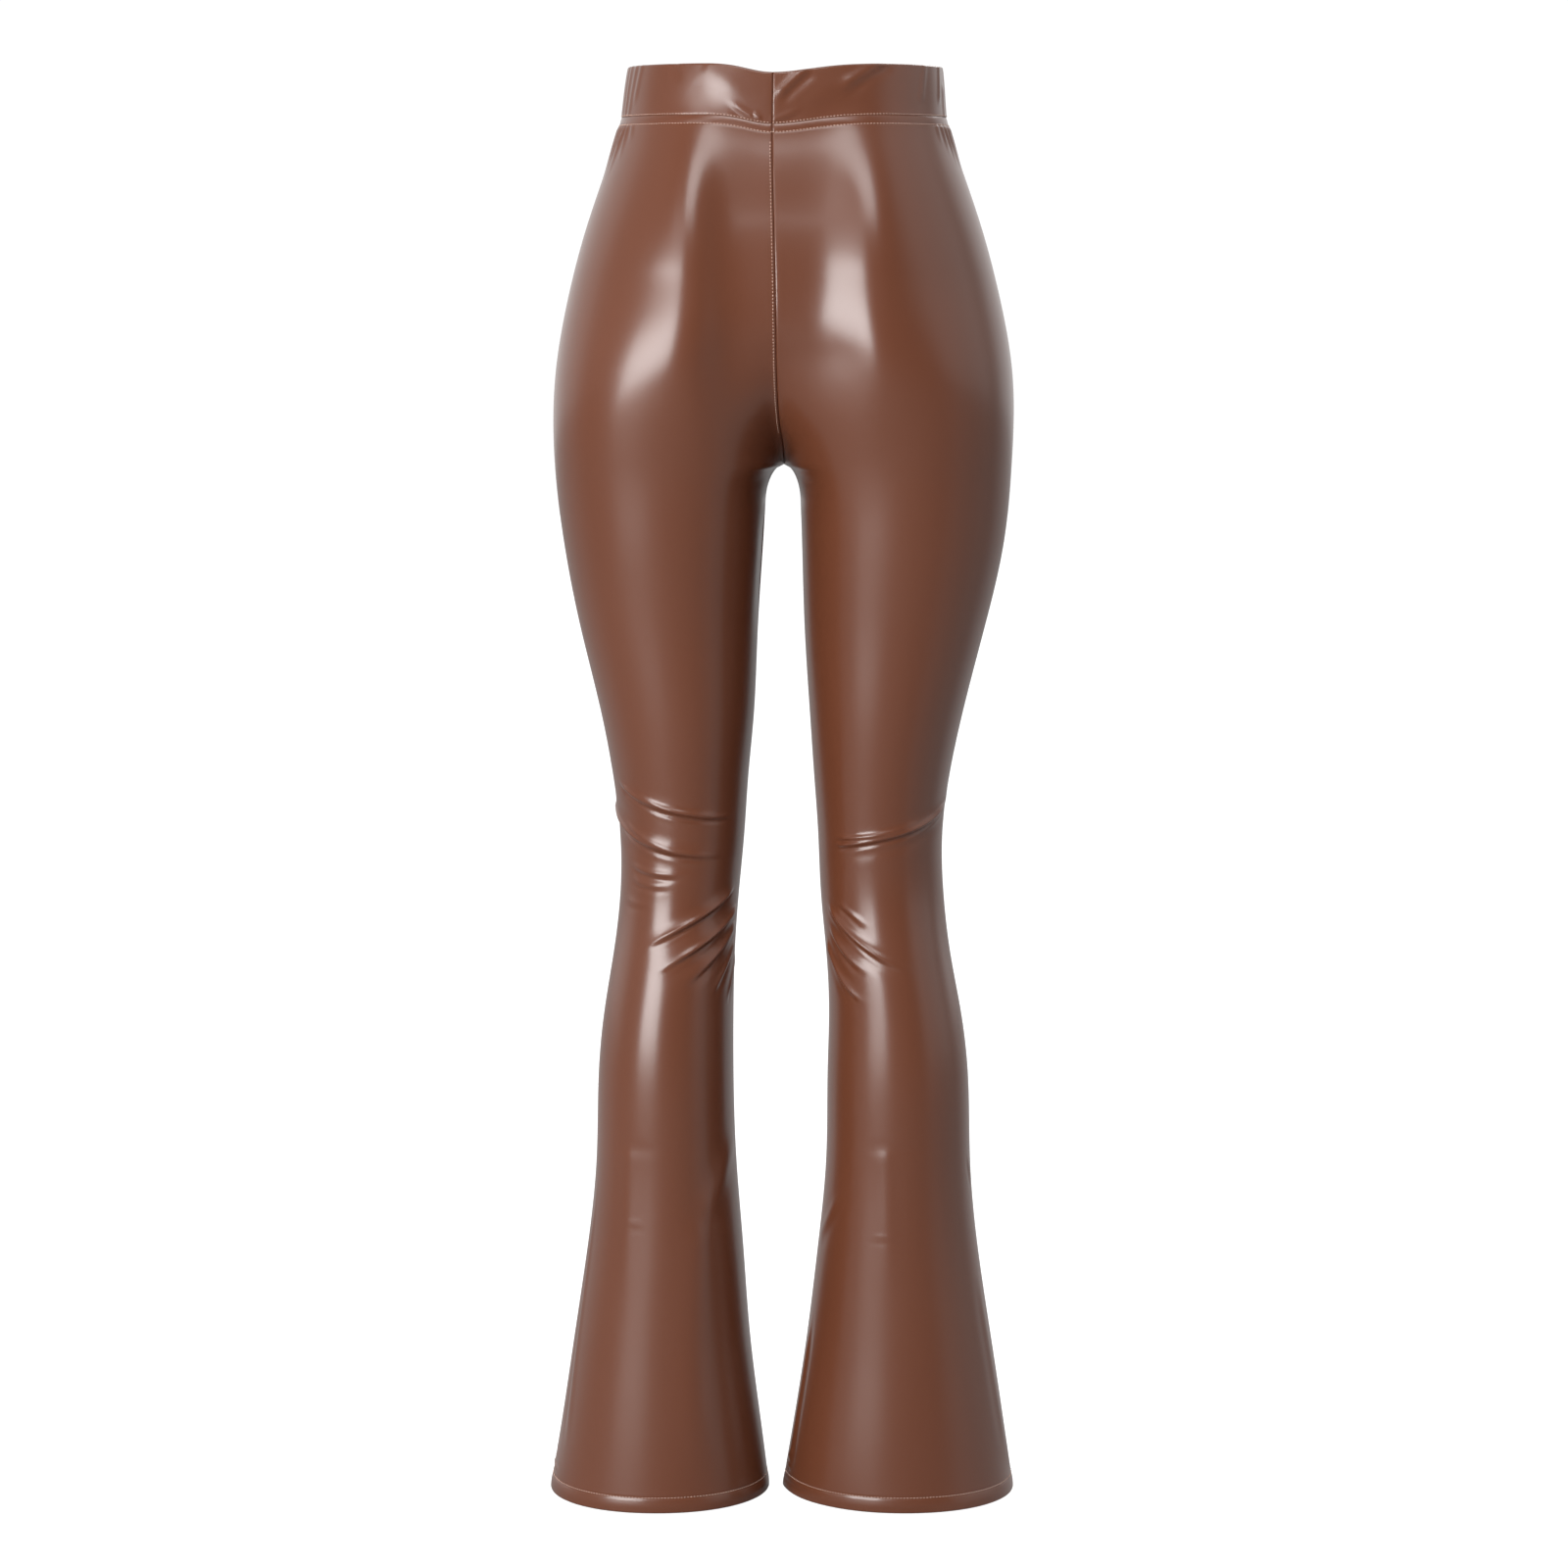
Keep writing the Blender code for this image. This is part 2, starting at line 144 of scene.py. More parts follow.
def grid_normals(points: Array, outward: int) -> Array:
    """Unit normals of a grid of points: the cross product of its two directions.

    Args:
        points: The grid, rows down the garment and columns across.
        outward: 1 or -1, the sign that turns across x down into an outward normal.

    Returns:
        The outward normal at each point.
    """
    down, across = np.gradient(points, axis=(0, 1))
    return unit(np.cross(across, down) * outward)


@dataclass(frozen=True)
class Section:
    """The garment cut level at one drop. Inner widths start at the crotch, and are for the legs."""

    drop: float
    left_outer: float
    left_inner: float
    right_inner: float
    right_outer: float
    back: float
    front: float
    seam_y: float


SECTIONS = (
    Section(0, 112, 0, 0, 114, 90, 92, 1),
    Section(36, 117, 0, 0, 117, 95, 96, 0),
    Section(60, 124, 0, 0, 124, 105, 99, -1),
    Section(113, 142, 0, 0, 142, 122, 103, -5),
    Section(166, 156, 0, 0, 156, 126, 104, -9),
    Section(219, 165, 0, 0, 165, 118, 102, -10),
    Section(285, 166, 12, 11, 165, 101, 97, -7),
    Section(340, 160, 15, 13, 160, 92, 90, -4),
    Section(404, 148, 19, 15, 146, 82, 81, -2),
    Section(468, 133, 22, 19, 130, 74, 73, 0),
    Section(512, 125, 26, 22, 121, 67, 68, 1),
    Section(555, 120, 29, 25, 116, 61, 64, 1),
    Section(598, 120, 33, 27, 117, 59, 58, 0),
    Section(642, 125, 36, 31, 122, 64, 53, -4),
    Section(686, 132, 37, 33, 130, 69, 50, -7),
    Section(729, 136, 37, 32, 135, 72, 49, -9),
    Section(795, 138, 35, 31, 137, 72, 52, -8),
    Section(861, 145, 30, 25, 143, 74, 60, -6),
    Section(928, 155, 25, 17, 153, 78, 68, -5),
    Section(994, 165, 17, 7, 163, 84, 76, -4),
    Section(1041.5, 173, 11, -1, 170, 88, 81, -3),
)

# How far the seat seam lies to the wearer's left of the middle plane: (drop, distance).
SEAT_SEAM_LEAN = ((0, 7.8), (60, 8.2), (120, 7.0), (190, 5.6), (240, 4.2), (285, 0))


@dataclass(frozen=True)
class Surface:
    """A grid of points on a panel, rows down the garment and columns towards the outseam.

    Attributes:
        points: Places in millimetres, with z up from the waist's top edge.
        along: Distance of each point from the panel's inner seam, round the leg.
        from_side: Distance of each point from the outseam, round the leg.
        drops: Drop of each row.
        outward: 1 or -1, as for grid_normals.
    """

    points: Array
    along: Array
    from_side: Array
    drops: Array
    outward: int

    @property
    def down(self) -> Array:
        """Each point's drop, as a whole grid."""
        return np.broadcast_to(self.drops[:, None], self.along.shape)

    @property
    def round_knee(self) -> Array:
        """Distance from the inner seam, as if each panel were as wide as at the knee."""
        return self.along / self.along[:, -1:] * TrouserForm.KNEE_HALF_GIRTH


@dataclass(frozen=True)
class TrouserForm:
    """The smooth outer form of the trousers, before folds, seams and stitches."""

    length: float = 1041.5
    waist_line: float = 18.0
    band_height: float = 36.0
    crotch_drop: float = 285.0
    arch_depth: float = 25.0
    arch_reach: float = 20.0
    join_rounding: float = 5.0
    back_rise_curve: float = 140.0
    front_rise_curve: float = 96.0
    rise_turn_start: float = 0.25
    leg_parting: float = 34.0
    hip_fullness: float = 2.3
    leg_fullness: float = 2.08
    fullness_change: tuple[float, float] = (200.0, 330.0)
    groove_depth: float = 19.0
    groove_reach: float = 54.0
    groove_power: float = 4.0
    groove_start: tuple[float, float] = (0.0, 110.0)
    groove_end: tuple[float, float] = (200.0, 285.0)
    waist_dip: float = 6.5
    waist_dip_reach: tuple[float, float] = (26.0, 36.0)
    waist_dip_end: float = 90.0
    lean_reach: float = 60.0
    lean_depth: tuple[float, float] = (20.0, 70.0)
    arc_samples: int = 1400
    crowding_start: tuple[float, float] = (90.0, 180.0)
    centre_crowding: int = 4

    KNEE_HALF_GIRTH = 170.0

    def size_down(self, name: str, drops: Array, legs_only: bool = False) -> Array:
        """One column of the section table, as a smooth line down the garment.

        Args:
            name: The column.
            drops: Drops to read it at.
            legs_only: Leaves out the rows above the crotch.

        Returns:
            The size at each drop.
        """
        rows = [row for row in SECTIONS if row.drop >= self.crotch_drop or not legs_only]
        knots = np.array([row.drop for row in rows])
        return spline(knots, np.array([getattr(row, name) for row in rows]), drops)

    def leg_inner(self, side: Side, drops: Array) -> Array:
        """The leg's inner width from the table, held at its first value above the crotch."""
        below = np.maximum(drops, self.crotch_drop)
        return self.size_down(f"{side.value}_inner", below, legs_only=True)

    def inner_width(self, side: Side, drops: Array) -> Array:
        """Distance of a leg's inner side from the middle plane.

        In words: the table's width times a quarter circle, which makes the round arch.
        """
        share = np.clip((drops - self.crotch_drop) / self.arch_depth, 0, 1)
        return self.leg_inner(side, drops) * np.sqrt(share * (2 - share))

    def inner_reach(self, side: Side, drops: Array, curve: float) -> Array:
        """Where each level ellipse would end on its inner side, smoothly past the crotch.

        In words: on a leg it is the leg's inner side. Above the crotch it moves to the far
        side of the body, so that the ellipse becomes the whole hip.

        Args:
            side: The leg.
            drops: Drop of each ellipse.
            curve: How far above the crotch the rise seam turns under.

        Returns:
            The inner end of each ellipse, along X.
        """
        rounding = self.join_rounding
        outer = self.size_down(f"{side.value}_outer", drops)
        share = np.clip((self.crotch_drop - drops) / curve, 0, 1)
        start = self.rise_turn_start * share * (1 - share) ** 2
        turn = start + share * share * (3 - 2 * share)
        across = -(outer + rounding) * turn / (2 - turn)
        below = np.maximum(drops - self.crotch_drop, 0)
        far = np.sqrt(self.leg_inner(side, drops) ** 2 + rounding**2) - rounding
        return rounding + across + far * (1 - np.exp(-below / self.leg_parting))

    def groove(self, drops: Array) -> Array:
        """Depth of the hollow between the two sides of the seat, at each drop."""
        return self.groove_depth * smooth_step(*self.groove_start, drops) * (
            1 - smooth_step(*self.groove_end, drops)
        )

    def arcs(self, side: Side, face: Face, drops: Array) -> tuple[Array, Array]:
        """Level arcs of one panel, on the +X side, from its inner seam to the outseam.

        In words: each is part of a superellipse, x by the sine and y by the cosine of an
        angle, both to the power 2 / fullness. Above the crotch it is cut at the middle plane,
        where widths are drawn in as on a hyperbola, so that the two sides meet in a round.

        Args:
            side: The leg.
            face: The panel.
            drops: Drop of each arc.

        Returns:
            The arcs' x and y, a row for each drop.
        """
        rounding = self.join_rounding
        curve = self.back_rise_curve if face is Face.BACK else self.front_rise_curve
        outer = self.size_down(f"{side.value}_outer", drops)
        reach = self.inner_reach(side, drops, curve)
        half_width = (outer - reach) / 2
        centre = (outer + reach) / 2
        seam_y = self.size_down("seam_y", drops)
        depth = self.size_down(face.value, drops) - face.sign * seam_y
        change = smooth_step(*self.fullness_change, drops)
        fullness = self.hip_fullness + (self.leg_fullness - self.hip_fullness) * change
        first = np.clip((rounding - centre) / half_width, -1, 1)
        start = np.arcsin(signed_power(first, fullness / 2))[:, None]
        angle = start + (math.pi / 2 - start) * np.linspace(0, 1, self.arc_samples)
        power = (2 / fullness)[:, None]
        x = centre[:, None] + half_width[:, None] * signed_power(np.sin(angle), power)
        x = np.sqrt(np.maximum(x**2 - rounding**2, 0))
        arch = self.inner_width(side, drops)[:, None] - x[:, :1]
        arch = np.where(drops[:, None] > self.crotch_drop, arch, 0)
        x += arch * bell(x - x[:, :1], self.arch_reach)
        out = depth[:, None] * np.abs(np.cos(angle)) ** power
        if face is Face.BACK:
            hollow = np.exp(-((x / self.groove_reach) ** self.groove_power))
            out -= self.groove(drops)[:, None] * hollow
        return x, seam_y[:, None] + out * face.sign

    def arc_lengths(self, side: Side, face: Face, drops: Array) -> Array:
        """The length of each level arc, from the inner seam to the outseam."""
        x, y = self.arcs(side, face, drops)
        return np.hypot(np.diff(x, axis=1), np.diff(y, axis=1)).sum(axis=1)

    def surface(self, side: Side, face: Face, drops: Array, shares: Array) -> Surface:
        """A panel's smooth outside, in its real place.

        In words: points at shares of each level arc's length. Near the crotch, where the arcs
        grow suddenly, the columns next to the inner seam take up the change.

        Args:
            side: The leg.
            face: The panel.
            drops: Drop of each row.
            shares: Place of each column, from 0 at the inner seam to 1 at the outseam.

        Returns:
            The grid of points.
        """
        away = np.array([row.drop for row in SECTIONS if row.drop != self.crotch_drop])
        x, y = self.arcs(side, face, drops)
        steps = np.hypot(np.diff(x, axis=1), np.diff(y, axis=1))
        run = np.concatenate([np.zeros((len(x), 1)), np.cumsum(steps, axis=1)], axis=1)
        length = run[:, -1]
        smooth_length = spline(away, self.arc_lengths(side, face, away), drops)
        growth = (1 - smooth_length / length)[:, None]
        growth = growth * smooth_step(*self.crowding_start, drops)[:, None]
        shares = shares + growth * ((1 - shares) - (1 - shares) ** self.centre_crowding)
        along = shares * length[:, None]
        x = np.array([np.interp(*row) for row in zip(along, run, x)])
        y = np.array([np.interp(*row) for row in zip(along, run, y)])
        dip = np.zeros_like(x)
        if face is Face.BACK:
            reach = self.waist_dip_reach[0 if side is Side.LEFT else 1]
            fade = 1 - smooth_step(self.band_height, self.waist_dip_end, drops)
            dip = self.waist_dip * fade[:, None] * bell(x, reach)
        points = np.stack([x * side.sign, y, -(drops[:, None] + dip)], axis=2)
        points[:, :, 0] -= self.lean(points, drops[:, None])
        outward = face.sign * side.sign
        return Surface(points, along, length[:, None] - along, drops, outward)

    def lean(self, points: Array, drops: Array) -> Array:
        """How far the back's cloth is drawn to the wearer's left, most at the seat seam."""
        knots, values = np.array(SEAT_SEAM_LEAN, float).T
        amount = spline(knots, values, np.clip(drops, knots[0], knots[-1]))
        near_back = smooth_step(*self.lean_depth, -points[:, :, 1])
        return amount * bell(points[:, :, 0], self.lean_reach) * near_back


@dataclass(frozen=True)
class Crease:
    """A ridge with a trough beside it, between two places on a panel.

    Attributes:
        start: Distance of its start from the inner seam, on a panel as wide as at the knee.
        start_drop: Drop of its start.
        end: Distance of its end.
        end_drop: Drop of its end.
        bow: How far its middle hangs below the line between its ends.
        height: Height of the ridge, or depth of a hollow if below 0.
        reach: Half width of the ridge.
        trough: Depth of the trough under it, as a share of the height.
        rise: Share of its length over which it starts.
        fall: Share of its length over which it dies away.
    """

    start: float
    start_drop: float
    end: float
    end_drop: float
    bow: float
    height: float
    reach: float
    trough: float = 0.6
    rise: float = 0.25
    fall: float = 0.4

    TROUGH_DISTANCE = 1.7

    def relief(self, place: Array, drops: Array) -> Array:
        """Height of the crease over a panel.

        In words: a bell across the line, which is bent into a parabola by the bow, less a
        second bell beside it, times an S at each end.

        Args:
            place: Distance of each point from the inner seam, in the crease's own measure.
            drops: Drop of each point.

        Returns:
            The height at each point.
        """
        run = np.array([self.end - self.start, self.end_drop - self.start_drop])
        length = np.hypot(*run)
        over = place - self.start
        under = drops - self.start_drop
        share = (over * run[0] + under * run[1]) / length**2
        aside = (under * run[0] - over * run[1]) / length * (1 if run[0] >= 0 else -1)
        aside = aside - self.bow * 4 * share * (1 - share)
        ends = smooth_step(0, self.rise, share) * (1 - smooth_step(1 - self.fall, 1, share))
        beside = bell(aside - self.TROUGH_DISTANCE * self.reach, self.reach)
        return self.height * ends * (bell(aside, self.reach) - self.trough * beside)


# Soft folds, the same as in the solids, and fine creases that run on them.
BACK_LEFT_CREASES = (
    Crease(146, 508, 30, 538, 8, 0.6, 5.0),
    Crease(141, 512, 36, 537, 8, 1.3, 1.9, 1.1, 0.15, 0.3),
    Crease(122, 517, 52, 534, 6, 0.8, 1.6, 1.0, 0.3, 0.5),
    Crease(176, 526, 40, 566, 9, 1.2, 6.0),
    Crease(170, 531, 44, 566, 9, 1.5, 2.1, 1.1, 0.05, 0.4),
    Crease(134, 542, 84, 560, 3, 0.7, 1.6, 1.0, 0.3, 0.5),
    Crease(132, 572, 76, 578, 3, 0.9, 2.2, 1.0, 0.3, 0.5),
    Crease(130, 583, 88, 587, 2, 0.5, 2.0, 0.8, 0.3, 0.5),
    Crease(140, 598, 104, 600, 2, 0.25, 2.6, 0.5, 0.4, 0.4),
    Crease(24, 588, 112, 634, -2, 1.2, 4.4),
    Crease(26, 590, 108, 632, -1, 1.4, 1.7, 1.0, 0.2, 0.35),
    Crease(8, 602, 100, 652, -3, 1.3, 4.4),
    Crease(12, 603, 97, 650, -2, 1.4, 1.7, 1.0, 0.2, 0.35),
    Crease(8, 615, 82, 662, -3, 1.0, 3.8),
    Crease(14, 616, 74, 659, -2, 1.2, 1.6, 1.0, 0.2, 0.5),
    Crease(8, 628, 52, 668, -2, 1.3, 2.6, 0.9),
    Crease(4, 640, 30, 676, -1, 1.1, 2.4, 0.9),
)
BACK_RIGHT_CREASES = (
    Crease(36, 560, 176, 520, 6, 1.0, 5.0),
    Crease(44, 559, 166, 524, 5, 1.5, 1.8, 1.1, 0.1, 0.25),
    Crease(44, 553, 120, 537, 4, 1.0, 1.6, 1.0, 0.15, 0.6),
    Crease(44, 600, 72, 618, -1, 0.9, 2.0, 1.0, 0.3, 0.5),
    Crease(24, 600, 104, 653, 2, 1.2, 4.4),
    Crease(30, 603, 98, 650, 2, 1.5, 1.7, 1.1, 0.15, 0.45),
    Crease(26, 618, 68, 651, 2, 1.2, 2.2, 1.0, 0.3, 0.4),
    Crease(14, 624, 64, 674, 4, 1.1, 4.0),
    Crease(18, 627, 62, 672, 4, 1.4, 1.7, 1.1, 0.2, 0.3),
)
FRONT_LEFT_CREASES = (
    Crease(168, 528, 70, 506, -5, 2.0, 8),
    Crease(160, 527, 76, 508, -5, 1.0, 2.3, 0.8),
    Crease(150, 548, 60, 540, -4, 1.2, 6.0),
    Crease(4, 596, 92, 572, 4, 1.8, 7.0),
    Crease(10, 596, 86, 574, 4, 0.9, 2.2, 0.8),
    Crease(8, 612, 70, 600, 3, 1.0, 4.0),
    Crease(150, 604, 70, 622, 3, 1.4, 7.0),
)
FRONT_RIGHT_CREASES = (
    Crease(168, 520, 66, 502, -5, 2.0, 8),
    Crease(160, 519, 72, 504, -5, 1.0, 2.3, 0.8),
    Crease(4, 592, 96, 566, 4, 1.9, 7.0),
    Crease(10, 592, 90, 568, 4, 0.9, 2.2, 0.8),
    Crease(6, 610, 60, 596, 3, 1.1, 4.0),
    Crease(146, 612, 76, 628, 3, 1.4, 7.0),
)

# Soft ridges and hollows of the back of each leg: under the seat, and down the lower leg.
LEFT_LEG_SHAPES = (
    Crease(2, 290, 66, 300, 2, -0.9, 7.0, -0.5, 0.1, 0.6),
    Crease(6, 312, 10, 420, 0, -1.2, 9.0, 0.0, 0.2, 0.5),
    Crease(152, 800, 145, 1012, 2, 0.8, 3.2, 0.6, 0.3, 0.2),
    Crease(168, 1012, 150, 1020, 1, 0.7, 1.8, 0.8, 0.1, 0.4),
    Crease(169, 1021, 154, 1026, 0, 0.6, 1.5, 0.8, 0.1, 0.4),
    Crease(134, 775, 80, 777, 1, -0.25, 5.0, 0.0, 0.4, 0.4),
    Crease(111, 772, 109, 905, 0, 0.8, 6.0, 0.0, 0.1, 0.6),
    Crease(12, 770, 60, 833, -4, 1.3, 9.0, 0.0, 0.3, 0.2),
    Crease(58, 815, 62, 1030, -5, 1.5, 11.0, 0.0, 0.15, 0.3),
    Crease(116, 832, 96, 833, 0, 0.25, 1.6, 0.8, 0.4, 0.4),
)
RIGHT_LEG_SHAPES = (
    Crease(2, 290, 52, 299, 2, -0.8, 7.0, -0.5, 0.1, 0.6),
    Crease(12, 905, 9, 1026, 0, 1.0, 2.8, 0.7, 0.3, 0.1),
    Crease(2, 1013, 15, 1017, 1, 0.8, 1.6, 0.8, 0.1, 0.4),
    Crease(2, 1021, 13, 1025, 0, 0.7, 1.4, 0.8, 0.1, 0.4),
    Crease(150, 870, 158, 1015, 1, 0.5, 4.0, 0.5, 0.3, 0.2),
    Crease(54, 776, 106, 777, 1, -0.25, 5.0, 0.0, 0.4, 0.4),
    Crease(74, 772, 78, 900, 0, 0.8, 6.0, 0.0, 0.1, 0.6),
    Crease(8, 856, 46, 806, 0, 0.8, 4.0, 0.3, 0.2, 0.5),
    Crease(66, 842, 90, 843, 0, 0.3, 1.4, 0.8, 0.3, 0.4),
    Crease(150, 788, 160, 815, 0, 0.5, 2.5, 0.4, 0.3, 0.4),
)

CREASES = {
    (Side.LEFT, Face.BACK): BACK_LEFT_CREASES + LEFT_LEG_SHAPES,
    (Side.RIGHT, Face.BACK): BACK_RIGHT_CREASES + RIGHT_LEG_SHAPES,
    (Side.LEFT, Face.FRONT): FRONT_LEFT_CREASES,
    (Side.RIGHT, Face.FRONT): FRONT_RIGHT_CREASES,
}


@dataclass(frozen=True)
class Gather:
    """One small pucker that hangs from the waistband's stitching.

    Attributes:
        start: Distance from the outseam at its top.
        end: Distance from the outseam at its foot.
        length: How far down it reaches, below the stitching.
        height: Height of the ridge.
        reach: Half width of the ridge.
    """

    start: float
    end: float
    length: float
    height: float
    reach: float

    RISE = (-0.08, 0.12)
    FALL = (0.2, 1.0)
    WIDENING = 0.5

    def relief(self, from_side: Array, drops: Array, top: float) -> Array:
        """Height of the pucker: a bell across a straight line, which fades from its top down."""
        share = (drops - top) / self.length
        place = self.start + (self.end - self.start) * share
        fade = smooth_step(*self.RISE, share) * (1 - smooth_step(*self.FALL, share))
        wider = self.reach * (1 + self.WIDENING * np.clip(share, 0, 1))
        return self.height * fade * bell(from_side - place, wider)


LEFT_GATHERS = (
    Gather(4, 5, 30, 1.1, 1.9),
    Gather(11, 12, 42, 1.4, 2.0),
    Gather(18, 21, 32, 1.2, 1.7),
    Gather(24, 29, 46, 1.6, 1.8),
    Gather(31, 33, 42, 1.5, 1.6),
    Gather(37, 36, 40, 1.6, 1.6),
    Gather(43, 49, 28, 1.3, 1.6),
    Gather(50, 57, 14, 0.8, 1.6),
)
RIGHT_GATHERS = (
    Gather(4, 4, 28, 1.1, 1.9),
    Gather(11, 12, 34, 1.3, 1.9),
    Gather(18, 19, 28, 1.2, 1.8),
    Gather(25, 24, 38, 1.5, 1.8),
    Gather(32, 33, 32, 1.4, 1.6),
    Gather(40, 42, 24, 1.2, 1.5),
    Gather(47, 50, 16, 0.8, 1.5),
)


# Pulls in the waistband, by signed distance round from the centre back, to the wearer's right.
BAND_CREASES = (
    Crease(-52, -2, -12, 24, 3, 0.55, 8.5, 0.3, 0.1, 0.5),
    Crease(-14, 29, -8, 34, 0, 0.5, 1.6, 0.6, 0.3, 0.3),
    Crease(-80, -4, -73, 14, 0, -1.0, 2.2, -0.5, 0.0, 0.6),
    Crease(1, 19, 25, -2, -1, 1.2, 3.4, 0.7, 0.3, 0.2),
    Crease(42, 18, 80, -5, -1, 1.2, 4.0, 0.6, 0.3, 0.2),
    Crease(18, 26, 60, 8, -1, 0.4, 7.0, 0.4, 0.3, 0.3),
    Crease(-6, 35, -36, 24, 1, 0.6, 2.6, 0.7, 0.2, 0.5),
    Crease(-3, 34, 22, 25, 1, 0.5, 2.4, 0.7, 0.2, 0.5),
)


@dataclass(frozen=True)
class BandTuck:
    """A small upright tuck in the waistband, by distance from the side seam at its two ends."""

    top: float
    foot: float
    height: float
    reach: float
    start_drop: float = -8.0
    end_drop: float = 44.0

    SOFT_END = 0.25

    def relief(self, from_side: Array, drops: Array) -> Array:
        """Height of the tuck: a bell across a straight line, with soft ends."""
        share = (drops - self.start_drop) / (self.end_drop - self.start_drop)
        place = self.top + (self.foot - self.top) * share
        fade = smooth_step(0, self.SOFT_END, share) * (
            1 - smooth_step(1 - self.SOFT_END, 1, share)
        )
        return self.height * fade * bell(from_side - place, self.reach)


BAND_TUCKS = {
    Side.LEFT: (
        BandTuck(10, 12, 0.6, 2.6), BandTuck(22, 20, 0.8, 2.4), BandTuck(31, 29, 0.9, 2.2),
        BandTuck(41, 37, 0.8, 2.2), BandTuck(50, 45, 0.6, 2.4, -8, 30),
    ),
    Side.RIGHT: (
        BandTuck(12, 12, 0.6, 2.6), BandTuck(22, 26, 0.8, 2.2, 10, 46),
        BandTuck(28, 36, 0.9, 2.2, -8, 30), BandTuck(52, 62, 0.7, 2.6, -4, 30),
    ),
}


@dataclass(frozen=True)
class Stitching:
    """Where a row of stitches runs, and how the cloth dips and puckers along it.

    Attributes:
        drop: Drop of the row.
        dip: Depth of the furrow that the thread draws.
        reach: Half width of the furrow.
        pitch: Distance from one stitch to the next.
    """

    drop: float
    dip: float
    reach: float
    pitch: float = 2.4

    PULL = 0.25

    def relief(self, along: Array, drops: Array) -> Array:
        """Height of the furrow: a bell across it, deeper where each stitch is pulled in."""
        pull = 1 - self.PULL + self.PULL * np.cos(2 * math.pi * along / self.pitch)
        return -self.dip * pull * bell(drops - self.drop, self.reach)


WAIST_SEAM = Stitching(36.0, 0.3, 0.9)
WAIST_ROW = Stitching(42.0, 0.2, 0.9)
HEM_ROW = Stitching(1030.5, 0.4, 1.0)

# The cloth between the two rows at the waist is raised a little: height and half width.
CASING_RIDGE = 0.18
CASING_REACH = 2.2

# The threads themselves: how far the upper waist row lies above its furrow, and the seat row's
# column from the seam and drops from start to end.
BAND_ROW_LIFT = 0.8
SEAT_ROW_COLUMN = 3
SEAT_ROW_DROPS = (48.0, 262.0)


def stitch_relief(along: Array, drops: Array) -> Array:
    """Height of all level stitching: the furrows, and the raised cloth between the two rows."""
    middle = (WAIST_SEAM.drop + WAIST_ROW.drop) / 2
    height = CASING_RIDGE * bell(drops - middle, CASING_REACH)
    for row in (WAIST_SEAM, WAIST_ROW, HEM_ROW):
        height = height + row.relief(along, drops)
    return height


@dataclass(frozen=True)
class Cloth:
    """Thicknesses of the cloth, and how its seams sink."""

    wall: float = 1.1
    band_wall: float = 2.8
    hem_wall: float = 2.4
    hem_depth: float = 12.0
    hem_step: float = 1.0
    hem_fullness: float = 0.45
    hem_fullness_reach: float = 4.5
    fold_share: float = 0.98
    band_step: float = 2.0
    seam_dip: float = 0.9
    seam_reach: float = 0.35
    seam_shoulder: float = 0.04
    seam_shoulder_distance: float = 4.0
    seam_shoulder_reach: float = 2.6

    def seam(self, distance: Array) -> Array:
        """Height beside a seam: a sharp furrow, and a low shoulder where the allowance lies."""
        aside = distance - self.seam_shoulder_distance
        shoulder = self.seam_shoulder * bell(aside, self.seam_shoulder_reach)
        return shoulder - self.seam_dip * np.exp(-np.abs(distance) / self.seam_reach)

    def fold(self, past_edge: Array, wall: float) -> Array:
        """How far the outside draws in near a folded edge.

        In words: a quarter circle as deep as half the wall.

        Args:
            past_edge: Distance of each row past the edge, below 0 on the cloth.
            wall: Thickness of the wall there.

        Returns:
            The distance for each row.
        """
        half = wall / 2
        share = np.clip((past_edge + half) / half, 0, 1)
        return half * (1 - np.sqrt(1 - share**2)) * self.fold_share


